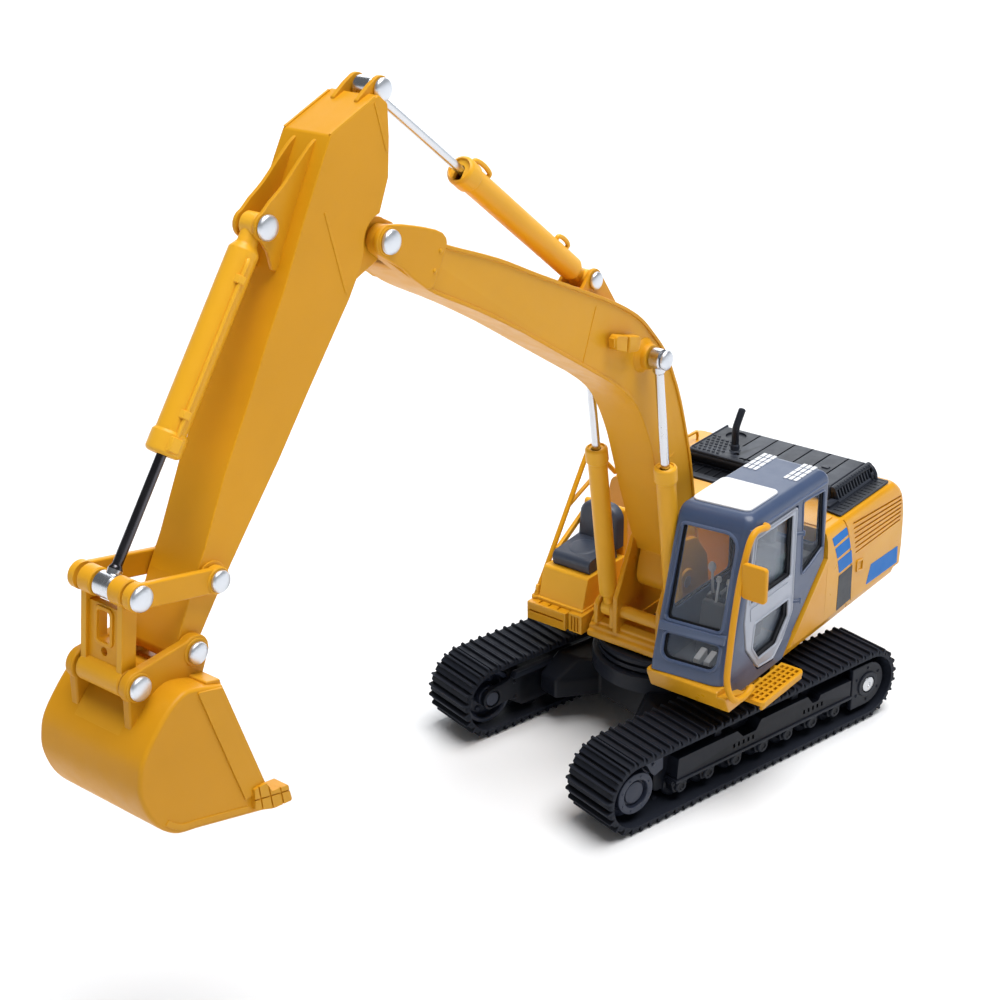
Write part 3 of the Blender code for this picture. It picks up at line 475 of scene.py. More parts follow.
# ------------------------------------------------------------------ placing
def piece(name, body, bm, mats, stands_for=(), xf=UPPER, ang=33, weighted=True):
    me = bpy.data.meshes.new(name)
    bm.to_mesh(me)
    bm.free()
    me.transform(xf)
    for m in mats if isinstance(mats, (list, tuple)) else [mats]:
        me.materials.append(m)
    me.shade_smooth()
    me.set_sharp_from_angle(angle=math.radians(ang))
    ob = bpy.data.objects.new(name, me)
    bpy.context.scene.collection.objects.link(ob)
    if weighted:
        w = ob.modifiers.new("normals", "WEIGHTED_NORMAL")
        w.keep_sharp = True
    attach(ob, body)
    if stands_for:
        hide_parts(*stands_for)
    return ob


def pin_shape(p, r, half, head_r, head_t, n=30, twin=False):
    """A cross pin with a smooth domed head on its left end and a small upset one on the right, or two heads."""
    base = [(r, half), (head_r - 0.18, half), (head_r, half + 0.18), (head_r, half + head_t * 0.42)]
    dome_ = [(head_r * math.cos(math.radians(t)), half + head_t * (0.42 + 0.58 * math.sin(math.radians(t)))) for t in (18, 36, 54, 72)]
    up = base + dome_ + [(0, half + head_t)]
    low = up if twin else [(r, half), (r + 0.5, half), (r + 0.5, half + 0.25), (r + 0.3, half + 0.45), (0, half + 0.5)]
    prof = [(q, -t) for q, t in reversed(low)] + up
    return lathe(prof, (p[0], 0, p[1]), (0, 1, 0), n)


def barrel_shape(p0, p1, length, r, bore, eye_r, eye_half, hole_r, collar_r, y=0.0, neck=4.3, pipe=None, pipe_r=0.62, n=36, gland=None):
    """Barrel with an eye on p0, a stepped collar at its open mouth and a moulded oil pipe along one side."""
    d = Vector((p1[0] - p0[0], 0, p1[1] - p0[1])).normalized()
    o = Vector((p0[0], y, p0[1]))
    body = lathe([(0, 0.8), (r * 0.66, 0.8), (r * 0.66, neck - 1.0), (r * 0.8, neck - 0.3), (r - 0.15, neck + 0.3), (r, neck + 0.7), (r, length - 4.6),
                  (r + 0.12, length - 4.4), (collar_r - 0.12, length - 4.1), (collar_r, length - 3.9), (collar_r, length - 0.75),
                  (collar_r - 0.2, length - 0.3), (collar_r - 0.6, length - 0.05), (max(bore + 0.12, collar_r - 0.85), length),
                  (bore, length - 0.1), (bore, neck + 1.6), (0, neck + 1.6)], o, d, n)
    eye = cross(p0, eye_r, y - eye_half, y + eye_half, 30, 0.25)
    eye = cut(eye, cross(p0, hole_r, y - eye_half - 1, y + eye_half + 1, 24))
    parts = [body, eye]
    if gland:
        # closing ring round the rod, with the slack that the rod's own swing needs
        rr, lo, hi = gland
        q = Vector((-d.z, 0, d.x))
        ring = lathe([(0, length - 1.4), (bore + 0.14, length - 1.4), (bore + 0.14, length - 0.45), (0, length - 0.45)], o, d, n)
        way = [(lo + rr * math.cos(math.radians(a)), rr * math.sin(math.radians(a))) for a in range(90, 271, 15)] + \
              [(hi + rr * math.cos(math.radians(a)), rr * math.sin(math.radians(a))) for a in range(-90, 91, 15)]
        tool = loft([[tuple(o + d * t + q * a + Vector((0, b, 0))) for a, b in way] for t in (length - 2.5, length + 1.0)])
        parts.append(cut(ring, tool))
    if pipe:
        q = Vector(pipe).normalized()
        q = (q - d * q.dot(d)).normalized()
        off = r + pipe_r * 0.45
        a, b = neck + 2.2, length - 3.2
        path = [o + d * a + q * (r - 0.4), o + d * (a + 0.5) + q * (off - 0.1), o + d * (a + 1.4) + q * off, o + d * (a + b) / 2 + q * off,
                o + d * (b - 1.6) + q * off, o + d * b + q * off]
        parts.append(tube(path, pipe_r, 14, 4))
        w = d.cross(q)
        for t in (a + 3.0, b - 5.5):
            c = o + d * t
            verts = [c + d * k + q * j + w * i for k in (0, 1.5) for j, i in ((r - 0.5, -1.25), (off + pipe_r + 0.12, -0.7), (off + pipe_r + 0.12, 0.7), (r - 0.5, 1.25))]
            clip = mesh([tuple(v) for v in verts], [(0, 1, 2, 3), (7, 6, 5, 4), (0, 4, 5, 1), (1, 5, 6, 2), (2, 6, 7, 3), (3, 7, 4, 0)])
            parts.append(bevel(clip, 0.15, 2))
        k = d * (length - 3.6) + q * (collar_r - 0.5)
        verts = [o + k + d * e + q * j + w * i for e in (0, 2.7) for j, i in ((0, -1.35), (1.15, -1.0), (1.15, 1.0), (0, 1.35))]
        block = mesh([tuple(v) for v in verts], [(0, 1, 2, 3), (7, 6, 5, 4), (0, 4, 5, 1), (1, 5, 6, 2), (2, 6, 7, 3), (3, 7, 4, 0)])
        parts.append(bevel(block, 0.2, 2))
    return group(*parts)


def piston_shape(p0, p1, length, r, eye_r, eye_half, hole_r, y=0.0, n=28):
    d = Vector((p0[0] - p1[0], 0, p0[1] - p1[1])).normalized()
    o = Vector((p1[0], y, p1[1]))
    bar = lathe([(0, hole_r + 0.3), (r + 0.45, hole_r + 0.3), (r + 0.45, eye_r + 0.7), (r + 0.1, eye_r + 1.3), (r, eye_r + 1.6), (r, length - 0.4), (r - 0.3, length), (0, length)], o, d, n)
    eye = cut(cross(p1, eye_r, y - eye_half, y + eye_half, 32, 0.3), cross(p1, hole_r, y - eye_half - 1, y + eye_half + 1, 24))
    return group(bar, eye)


def shifted(p, d, t, q, w):
    return (p[0] + d.x * t + q.x * w, p[1] + d.y * t + q.y * w)


# ------------------------------------------------------------------ undercarriage
SHOES = 78
GAUGE_R = 9.6
STRAIGHT = 2 * WHEEL_X
LOOP = 2 * STRAIGHT + 2 * math.pi * GAUGE_R


def loop_at(s, r):
    """A point on the belt's loop, s along it and r out from the wheel line."""
    s %= LOOP
    bend = math.pi * GAUGE_R
    if s < bend:
        a = -math.pi / 2 + s / GAUGE_R
        return WHEEL_X + r * math.cos(a), WHEEL_Z + r * math.sin(a)
    s -= bend
    if s < STRAIGHT:
        return WHEEL_X - s, WHEEL_Z + r
    s -= STRAIGHT
    if s < bend:
        a = math.pi / 2 + s / GAUGE_R
        return -WHEEL_X + r * math.cos(a), WHEEL_Z + r * math.sin(a)
    s -= bend
    return -WHEEL_X + s, WHEEL_Z - r


def belt_shape():
    pitch = LOOP / SHOES
    prof = ((0.0, 9.42), (0.07, 9.42), (0.11, 9.82), (0.15, 9.92), (0.56, 9.96), (0.61, 10.05), (0.655, 10.58), (0.69, 10.7),
            (0.78, 10.7), (0.815, 10.58), (0.87, 9.9), (0.93, 9.42))
    rings = []
    for k in range(SHOES):
        for f, r in prof:
            s = (k + f) * pitch
            pts = []
            for y, q in ((IN_Y, 8.5), (OUT_Y, 8.5), (OUT_Y, r - 0.34), (OUT_Y - 0.34, r), (IN_Y + 0.34, r), (IN_Y, r - 0.34)):
                x, z = loop_at(s, q)
                pts.append((x, y, z))
            rings.append(pts)
    n, m = 6, len(rings)
    verts = [p for r in rings for p in r]
    faces = [(k * n + i, k * n + (i + 1) % n, ((k + 1) % m) * n + (i + 1) % n, ((k + 1) % m) * n + i) for k in range(m) for i in range(n)]
    parts = [mesh(verts, faces)]
    # guide lugs on the inside of the belt
    for k in range(0, SHOES, 2):
        s = (k + 0.35) * pitch
        ring = []
        for y, q, e in ((-2.2, 8.6, 0.9), (-1.2, 7.75, 0.55)):
            a0, a1 = loop_at(s - e, q), loop_at(s + e, q)
            ring.append([(a0[0], TRACK_Y + y, a0[1]), (a1[0], TRACK_Y + y, a1[1]), (a1[0], TRACK_Y - y, a1[1]), (a0[0], TRACK_Y - y, a0[1])])
        parts.append(loft(ring))
    return group(*parts)


def frame_shape():
    """Long roller frame: outer side box with notches, rollers with hub caps, end plates."""
    core = prism(rounded([(-34.5, 5.2), (33.0, 5.2), (33.0, 16.4), (-34.5, 16.4)], 1.5), IN_Y + 1.1, 32.4, bev=0.4)
    side = [(28.6, 9.2), (28.1, 15.3), (7.6, 15.3), (5.4, 12.9), (0.8, 12.9), (-1.0, 15.5), (-18.3, 15.5), (-20.4, 12.8), (-22.4, 12.8),
            (-23.4, 14.2), (-35.3, 14.2), (-35.3, 9.2)]
    block = prism(rounded(side, 0.35, 3), 32.0, 36.3, bev=0.3)
    slits = [box(x - 0.35, x + 0.35, 35.7, 37, 10.6, 11.9) for k in range(5) for x in (8.6 - 1.7 * k, -17.2 - 1.7 * k)]
    block = cut(block, *slits)
    flange = prism([(29.2, 8.4), (29.2, 9.25), (-35.5, 9.25), (-35.5, 8.4)], 32.0, 36.75, bev=0.18)
    parts = [core, block, flange]
    for x in (26.8, 17.2, 7.4, -2.3, -11.6, -20.9, -29.8):
        parts.append(prism(rounded([(x - 3.1, 8.7), (x + 3.1, 8.7), (x + 2.1, 5.0), (x - 2.1, 5.0)], 0.7), 33.0, 35.5, bev=0.22))
        parts.append(lathe([(0, 35.2), (1.75, 35.2), (1.75, 36.0), (1.5, 36.25), (0.95, 36.25), (0.8, 36.0), (0, 36.0)], (x, 0, 6.6), (0, 1, 0), 20))
        for e in (-1, 1):
            parts.append(dome((x + e * 2.15, 35.5, 7.7), (0, 1, 0), 0.42, 0.3, 10))
        parts.append(lathe([(0, 24.2), (2.6, 24.2), (3.15, 24.7), (3.15, 27.0), (2.5, 27.4), (2.5, 30.2), (3.15, 30.6), (3.15, 32.6), (2.7, 33.0), (0, 33.0)], (x, 0, 5.5), (0, 1, 0), 24))
    for x in (13.0, -15.0):
        parts.append(lathe([(0, 26), (1.7, 26), (2.0, 26.3), (2.0, 33.4), (1.7, 33.7), (0, 33.7)], (x, 0, 17.0), (0, 1, 0), 20))
        parts.append(prism([(x - 1.4, 14.5), (x + 1.4, 14.5), (x + 0.9, 17.4), (x - 0.9, 17.4)], 33.8, 34.8, bev=0.2))
    inner = [(33.4, 6.2), (36.2, 8.4)] + arc((WHEEL_X, WHEEL_Z), 3.1, -70, 70, 14) + [(36.8, 14.6), (34.6, 16.0)] + arc((-WHEEL_X, WHEEL_Z), 5.4, 90, 270, 14)
    inner = prism(inner, IN_Y + 1.1, IN_Y + 2.5, bev=0.3)
    parts.append(cut(inner, rod((WHEEL_X, IN_Y, WHEEL_Z), (WHEEL_X, IN_Y + 4, WHEEL_Z), 2.45, 28), rod((-WHEEL_X, IN_Y, WHEEL_Z), (-WHEEL_X, IN_Y + 4, WHEEL_Z), 2.45, 28)))
    parts.append(prism(rounded([(-31, 15.2), (36.0, 15.2), (34.8, 16.9), (-31, 16.9)], 0.3), IN_Y - 0.4, IN_Y + 1.6, bev=0.35))
    for x, z in ((34.4, 8.6), (34.6, 13.4)):
        parts.append(dome((x, IN_Y + 1.1, z), (0, -1, 0), 0.55, 0.4, 12))
    rear = [(-35.9, 4.3), (-35.9, 17.1)] + arc((-WHEEL_X, WHEEL_Z), 6.4, 90, 270, 18)
    parts.append(prism(rear, 34.8, 36.3, bev=0.4))
    parts.append(lathe([(2.5, 36.0), (3.7, 36.0), (3.7, 36.55), (3.5, 36.75), (2.5, 36.75)], (-WHEEL_X, 0, WHEEL_Z), (0, 1, 0), 28))
    for a in range(6):
        q = math.radians(60 * a + 30)
        parts.append(dome((-WHEEL_X + 4.9 * math.cos(q), 36.3, WHEEL_Z + 4.9 * math.sin(q)), (0, 1, 0), 0.45, 0.35, 10))
    yoke = [(32.0, 13.4), (34.8, 12.4), (36.0, 13.6), (37.4, 16.3), (39.2, 17.5), (36.0, 18.0), (32.0, 16.8)]
    parts.append(paint(prism(rounded(yoke, 0.4, 3), 31.5, 34.8, bev=0.3), 1))
    parts.append(paint(dome((35.4, 34.8, 16.0), (0, 1, 0), 0.55, 0.4, 12), 1))
    return group(*parts)


def idler_shape():
    prof = [(0, 22.3), (1.9, 22.3), (2.2, 22.6), (2.2, 24.0), (2.9, 24.0), (3.15, 24.3), (3.15, 26.4), (5.7, 26.4), (6.2, 25.9), (6.35, 24.4), (6.7, 24.0), (7.5, 24.0), (7.95, 24.5), (8.1, 25.2), (8.1, 31.4), (7.9, 32.0), (7.3, 32.4),
            (6.1, 32.5), (5.75, 32.9), (5.75, 35.45), (5.6, 35.75), (5.3, 35.9), (4.1, 35.9), (3.9, 35.8), (3.75, 35.5), (3.7, 34.6), (3.15, 34.6),
            (3.0, 34.75), (2.9, 35.15), (2.6, 35.3), (0, 35.4)]
    parts = [lathe(prof, (WHEEL_X, 0, WHEEL_Z), (0, 1, 0), 48)]
    for a in range(8):
        q = math.radians(45 * a + 20)
        parts.append(dome((WHEEL_X + 4.72 * math.cos(q), 35.9, WHEEL_Z + 4.72 * math.sin(q)), (0, 1, 0), 0.3, 0.2, 10))
    for a in range(6):
        q = math.radians(60 * a)
        parts.append(dome((WHEEL_X + 4.5 * math.cos(q), 26.4, WHEEL_Z + 4.5 * math.sin(q)), (0, -1, 0), 0.85, 0.7, 12))
    return group(*parts)


def sprocket_shape():
    teeth, pts = 13, []
    for k in range(teeth):
        for f, r in ((0.0, 6.7), (0.14, 6.7), (0.3, 7.75), (0.5, 7.95), (0.7, 7.75), (0.86, 6.7)):
            a = 2 * math.pi * (k + f) / teeth
            pts.append((-WHEEL_X + r * math.cos(a), WHEEL_Z + r * math.sin(a)))
    disc = prism(pts, 26.6, 31.6, bev=0.3, ang=50)
    hub = lathe([(0, 24.0), (5.0, 24.0), (5.4, 24.4), (5.4, 33.6), (5.0, 34.2), (0, 34.2)], (-WHEEL_X, 0, WHEEL_Z), (0, 1, 0), 36)
    body = unite(disc, hub)
    return cut(body, rod((-WHEEL_X, 20, WHEEL_Z), (-WHEEL_X, 40, WHEEL_Z), 2.5, 28))


def axle_shape():
    return lathe([(0, 22.4), (1.9, 22.4), (2.2, 22.7), (2.2, 36.5), (2.1, 36.75), (1.85, 36.9), (0.7, 37.0), (0.55, 36.8), (0, 36.75)],
                 (-WHEEL_X, 0, WHEEL_Z), (0, 1, 0), 36)


for side in ("left", "right"):
    turn = (lambda b: b) if side == "left" else flip
    piece(side + "_belt", "undercarriage", turn(belt_shape()), rubber, [side + "_track_belt"], UNDER, ang=24)
    piece(side + "_roller_frame", "undercarriage", turn(frame_shape()), [black_pl, wheel_pl], [side + "_track_frame"], UNDER)
    piece(side + "_axle", "undercarriage", turn(axle_shape()), steel, [side + "_sprocket_axle"], UNDER)
    piece(side + "_idler_disc", side + "_idler", turn(idler_shape()), wheel_pl, [side + "_idler_wheel"], UNDER)
    piece(side + "_sprocket_disc", side + "_sprocket", turn(sprocket_shape()), black_pl, [side + "_sprocket_wheel"], UNDER)

low = [(26, 21.6), (26, 15), (15, 9), (15, -9), (26, -15), (26, -21.6), (-26, -21.6), (-26, -15), (-15, -9), (-15, 9), (-26, 15), (-26, 21.6)]
top = [(20, 21.6), (18.5, 14.0), (14.0, 9), (14.0, -9), (18.5, -14.0), (20, -21.6), (-20, -21.6), (-18.5, -14.0), (-14.0, -9), (-14.0, 9), (-18.5, 14.0), (-20, 21.6)]
carbody = loft([[(x, y, 8.0) for x, y in low], [(x, y, 13.5) for x, y in low], [(x, y * 0.98, 18.6) for x, y in top]])
bevel(carbody, 0.7, 3, 20)
turret = lathe([(6.5, 17.8), (19.5, 17.8), (19.5, 21.7), (19.3, 22.15), (18.8, 22.4), (6.5, 22.4)], (0, 0, 0), (0, 0, 1), 64)
bolts = [dome((17.6 * math.cos(math.radians(20 * k)), 17.6 * math.sin(math.radians(20 * k)), 22.4), (0, 0, 1), 0.0001 + 0.45, 0.2, 10) for k in range(18)]
nose_plates = [prism(rounded([(15.5, 5.2), (23.0, 13.6), (23.0, 16.2), (15.5, 10.5)], 0.4), 17.8, 18.9, "z", bev=0.2)]
carbody = cut(carbody, rod((0, 0, 5), (0, 0, 25), 6.6, 32), rod((0, 0, 5), (0, 0, 10), 9.2, 32))
piece("carbody", "undercarriage", group(carbody, turret, *bolts), black_pl, ["chassis_frame"], UNDER)
ring = lathe([(9, 22.75), (17.3, 22.75), (18.0, 23.2), (18.0, 24.3), (17.2, 24.5), (17.2, 25.0), (18.0, 25.2), (18.0, 26.2), (17.5, 26.65), (9, 26.65)], (0, 0, 0), (0, 0, 1), 72)
piece("slew_bearing", "undercarriage", ring, black_pl, ["slew_ring"], UNDER)


# ------------------------------------------------------------------ deck
def deck_shape():
    plan = [(9.0, 11.9), (16.6, 11.9), (16.6, 31.6), (-58, 31.6), (-58, -32.0), (-22, -32.0), (-22, -33.9), (9.0, -33.9)]
    plate = prism(rounded(plan, 0.6, 3), 27.0, 32.85, "z", bev=0.4)
    well = box(-8.5, 8.2, -5.7, 5.7, 29.6, 36)
    plate = cut(plate, well)
    parts = [plate]
    # lip under the cab: leans out towards its top
    lip = [(10.0, 27.0), (26.3, 27.0), (28.25, 31.4), (28.4, 32.5), (28.1, 33.0), (10.0, 33.0)]
    parts.append(prism(lip, 11.95, 33.0, bev=0.45, ang=40))
    cheek = [(18.8, 27.0), (26.3, 27.0), (28.2, 31.3), (27.9, 31.9), (24.0, 31.0), (18.8, 29.6)]
    parts.append(prism(cheek, 32.6, 35.4, bev=0.4, ang=40))
    # stepped front crossbar
    bar = [(5.0, 27.2), (15.4, 27.2), (16.0, 27.8), (16.0, 29.3), (15.1, 29.7), (15.1, 30.7), (14.2, 31.1), (14.2, 31.9), (13.4, 32.5), (13.0, 33.0), (5.0, 33.0)]
    parts.append(prism(bar, -15.6, 11.9, bev=0.22, ang=40))
    # right front tread: two blocks with grooved tops
    tread = box(6.0, 18.3, -34.2, -21.2, 27.8, 33.1, 0.35)
    lines = [box(11.9, 12.4, -33.4, -22.0, 32.6, 34), box(14.9, 15.4, -33.4, -22.0, 32.6, 34)]
    lines += [box(8.6, 17.4, y, y + 0.5, 32.6, 34) for y in (-30.9, -27.8, -24.7)]
    lines += [box(17.7, 19, -33.4, -22.0, 30.4, 30.9)]
    parts.append(cut(tread, *lines))
    small = box(6.0, 17.4, -20.9, -16.4, 27.8, 33.3, 0.3)
    parts.append(cut(small, *[box(16.9, 18, y, y + 0.45, 28.4, 32.6) for y in (-19.9, -18.9, -17.9)]))
    # boom foot cheeks and cylinder lugs
    cheek = rounded([(-9, 31), (-6.5, 50, 3), (-1, 57, 3), (5, 58.3, 2), (8.2, 57, 2), (15.8, 41.2, 1.5), (15.9, 31)], 0.4, 5)
    parts.append(both(prism(cheek, 6.0, 7.5, bev=0.4, seg=3)))
    parts.append(both(group(lathe([(0, 7.3), (3.6, 7.3), (3.6, 7.8), (3.3, 8.1), (2.2, 8.15), (0, 8.15)], (P_FOOT[0], 0, P_FOOT[1]), (0, 1, 0), 32))))
    ear = [(P_BC_BASE[0] - 4.2, 32), (P_BC_BASE[0] - 3.0, P_BC_BASE[1])] + arc(P_BC_BASE, 3.0, 165, 15, 10) + [(P_BC_BASE[0] + 3.0, P_BC_BASE[1]), (P_BC_BASE[0] + 3.1, 32)]
    parts.append(both(prism(ear, 7.3, 8.55, bev=0.3)))
    parts.append(prism(ear, 12.15, 12.95, bev=0.25))
    parts.append(prism(ear, -13.7, -12.25, bev=0.35))
    # tube round the cylinders' base pin, and the frame's raised rim
    parts.append(cross(P_BC_BASE, 1.75, -7.4, 7.4, 28, 0.2))
    parts.append(prism(rounded([(-20, 32.5), (-9.5, 32.5), (-9.5, 34.4), (-20, 34.4)], 0.4), -14.0, 11.6, bev=0.3))
    return group(*parts)


deck = deck_shape()
# thin dark plate on the well's floor: painted shade standing in for the depth of the centre opening
hole = paint(box(-8.4, 8.1, -5.6, 5.6, 29.3, 29.75), 1)
piece("deck", "house", group(deck, hole), [diecast, gasket], ["deck_frame"])


# ------------------------------------------------------------------ house
LEVELS = ((27.5, 1.5, -68.0), (29.7, 1.0, -68.8), (30.3, 0.0, -69.3), (36, 0.0, -69.8), (45, 0.0, -69.6), (49, 0.08, -69.0), (52, 0.18, -68.0),
          (53.8, 0.35, -66.9), (55.0, 0.65, -65.9), (55.8, 1.0, -65.1), (56.4, 1.5, -64.3), (56.75, 2.2, -63.4))


def lerp(table, z):
    for (z0, a), (z1, b) in zip(table, table[1:]):
        if z <= z1:
            t = (z - z0) / (z1 - z0)
            return a + (b - a) * max(0.0, min(1.0, t))
    return table[-1][1]


def house_ring(z, i, tail, r=2.4):
    L, R = 33.8 - i, -34.5 + i
    pts = [(-24.0, L)] + arc((tail + r, L - r), r, 90, 180, 9) + arc((tail + r, R + r), r, 180, 270, 9) + [(-20.5, R), (-20.5, 12.6), (-24.0, 12.6)]
    return [(x, y, z) for x, y in pts]


def house_solid():
    return loft([house_ring(*v) for v in LEVELS])


def lean(z):
    return lerp([(v[0], v[1]) for v in LEVELS], z)


def on_left(pts, d0, d1, mat=0):
    """A thin outline laid on the left side's own surface, from d0 to d1 out of it."""
    return move(prism(pts, d0, d1, mat=mat), lambda v: (v.x, v.y + 33.8 - lean(v.z), v.z))


def on_right(pts, d0, d1, mat=0):
    return move(prism(pts, d0, d1, mat=mat), lambda v: (v.x, -(v.y + 34.5 - lean(v.z)), v.z))


def forward_panel():
    rings = []
    for z, y in ((27.5, 32.3), (29.7, 32.8), (30.3, 33.8), (48.9, 33.75)):
        xf = -3.2 - (z - 27.5) * 0.972
        rings.append([(xf, 31.7, z), (xf, y, z), (-30.0, y, z), (-30.0, 31.7, z)])
    return loft(rings)


def ribbon(pts, w):
    """The outline of a thin bar that follows a polyline."""
    left, right = [], []
    for i, p in enumerate(pts):
        a, b = Vector(pts[max(0, i - 1)]), Vector(pts[min(len(pts) - 1, i + 1)])
        t = (b - a).normalized()
        n = Vector((-t.y, t.x)) * w / 2
        left.append((p[0] + n.x, p[1] + n.y))
        right.append((p[0] - n.x, p[1] - n.y))
    return left + right[::-1]


shell = unite(house_solid(), forward_panel())
tools = [box(-80, -58.1, -29.3, 29.3, 20, 52.3)]
seam = spline([(-33.9, 56.2), (-35.6, 50.5), (-37.3, 43.3), (-38.4, 35), (-38.9, 27.0)], 5)
for lay in (on_left, on_right):
    tools.append(lay(ribbon(seam, 0.36), -0.45, 2.0))
    for k in range(7):
        z0, z1 = 53.9 - 1.55 * k, 51.9 - 1.22 * k
        x0, x1 = -37.9 - 0.3 * k, -66.0
        tools.append(lay(rounded([(x0, z0 - 0.27), (x1, z1 - 0.27), (x1, z1 + 0.27), (x0, z0 + 0.27)], 0.26, 3), -0.5, 2.0))
tools.append(on_left(ribbon([(-7.6, 27.6), (-7.6, 31.6)], 0.3), -0.4, 2.0))
shell = cut(shell, *tools)
parts = [shell]


# printed bars, plate and patch on the left side, and a latch on each side
def printed(pts, mat, r=0.25):
    return on_left(rounded(pts, r, 3), -0.2, 0.07, mat)


parts += [printed([(-26.3, 53.9), (-34.2, 54.3), (-35.0, 51.9), (-27.4, 51.2)], 1), printed([(-27.9, 50.4), (-35.5, 50.9), (-36.7, 47.4), (-29.3, 46.9)], 1),
          printed([(-29.6, 46.1), (-37.2, 46.4), (-38.1, 42.4), (-30.8, 42.0)], 1), printed([(-30.8, 41.2), (-38.3, 41.5), (-38.5, 31.0), (-30.6, 30.6)], 2),
          printed([(-49.6, 37.1), (-65.6, 36.4), (-65.9, 31.1), (-47.3, 31.6)], 1)]
latch = rounded([(-40.6, 41.9), (-44.5, 41.2), (-44.4, 37.5), (-40.7, 38.2)], 0.5, 4)
for lay_y in ((33.6, 34.15), (-34.85, -34.3)):
    parts.append(band(latch, inset(latch, 0.6), lay_y[0], lay_y[1], bev=0.1))
# top: raised yellow ledges round the hood, filler caps and a handhold
parts.append(prism(rounded([(-35.2, 12.9), (-25.0, 12.9), (-25.0, 30.0), (-33.0, 30.0), (-33.0, 26.4), (-35.2, 26.4)], 0.8), 56.4, 57.15, "z", bev=0.25))
parts.append(prism(rounded([(-38.6, -31.6), (-22.0, -31.6), (-22.0, 11.6), (-31.6, 11.6), (-31.6, -22.0), (-38.6, -22.0)], 0.8), 56.4, 57.3, "z", bev=0.3))
sill_out = rounded([(-41.0, -21.3), (-32.0, -21.3), (-32.0, 11.4), (-41.0, 11.4)], 0.7)
sill_in = rounded([(-40.6, -20.4), (-34.6, -20.4), (-34.6, 10.6), (-40.6, 10.6)], 0.5)
parts.append(paint(cut(prism(sill_out, 56.4, 57.7, "z", bev=0.22), prism(sill_in, 56.95, 60, "z")), 3))
parts.append(paint(prism(inset(sill_in, 0.05), 56.8, 57.02, "z"), 4))
for k in range(10):
    parts.append(paint(box(-40.4, -34.8, -18.9 + 2.95 * k, -18.3 + 2.95 * k, 56.9, 57.35, 0.12), 4))
parts.append(prism(rounded([(-61.5, -31.8), (-39.8, -31.8), (-39.8, -22.4), (-61.5, -22.4)], 0.8), 56.4, 57.6, "z", bev=0.35))
parts.append(lathe([(0, 57.2), (1.9, 57.2), (1.9, 58.3), (1.6, 58.7), (0, 58.7)], (-30, -26, 0), (0, 0, 1), 24))
parts.append(tube([(-47, -27.2, 57.4), (-47, -27.2, 59.4), (-48, -27.2, 60.2), (-54, -27.2, 60.2), (-55, -27.2, 59.4), (-55, -27.2, 57.4)], 0.4, 10, 3))
piece("house", "house", group(*parts), [diecast, print_blue, print_dark, charcoal, gasket], ["house_shell"], ang=30)

weight = boolean(house_solid(), box(-80, -58.4, -29.0, 29.0, 27.6, 52.0), "INTERSECT")
dents = [prism(rounded([(-24, 46.2), (24, 46.2), (24, 47.0), (-24, 47.0)], 0.3), -80, -68.7, "x"),
         prism(rounded([(-24, 31.2), (24, 31.2), (24, 32.0), (-24, 32.0)], 0.3), -80, -68.6, "x")]
dents += [prism(rounded([(y - 3.4, 33.8), (y + 3.4, 33.8), (y + 3.4, 36.6), (y - 3.4, 36.6)], 0.9), -80, -68.9, "x") for y in (-18.5, 18.5)]
weight = cut(weight, *dents)
lens = [paint(prism(rounded([(y - 2.9, 34.3), (y + 2.9, 34.3), (y + 2.9, 36.1), (y - 2.9, 36.1)], 0.7), -69.4, -68.6, "x", bev=0.15), 1) for y in (-18.5, 18.5)]
eyes = [lathe([(0.9, -0.4), (2.1, -0.4), (2.1, 0.15), (1.9, 0.35), (1.1, 0.35), (0.9, 0.15)], (-69.6, y, 41.0), (-1, 0, 0), 24) for y in (-9.5, 9.5)]
tail_lamp = finish("tail_lamp", (0.30, 0.012, 0.010), 0.2, var=0.1, coat=0.6, coat_rough=0.05, bump=0.1, grain=1500)
piece("tail_weight", "house", group(weight, *lens, *eyes), [diecast, tail_lamp], ["counterweight"], ang=30)


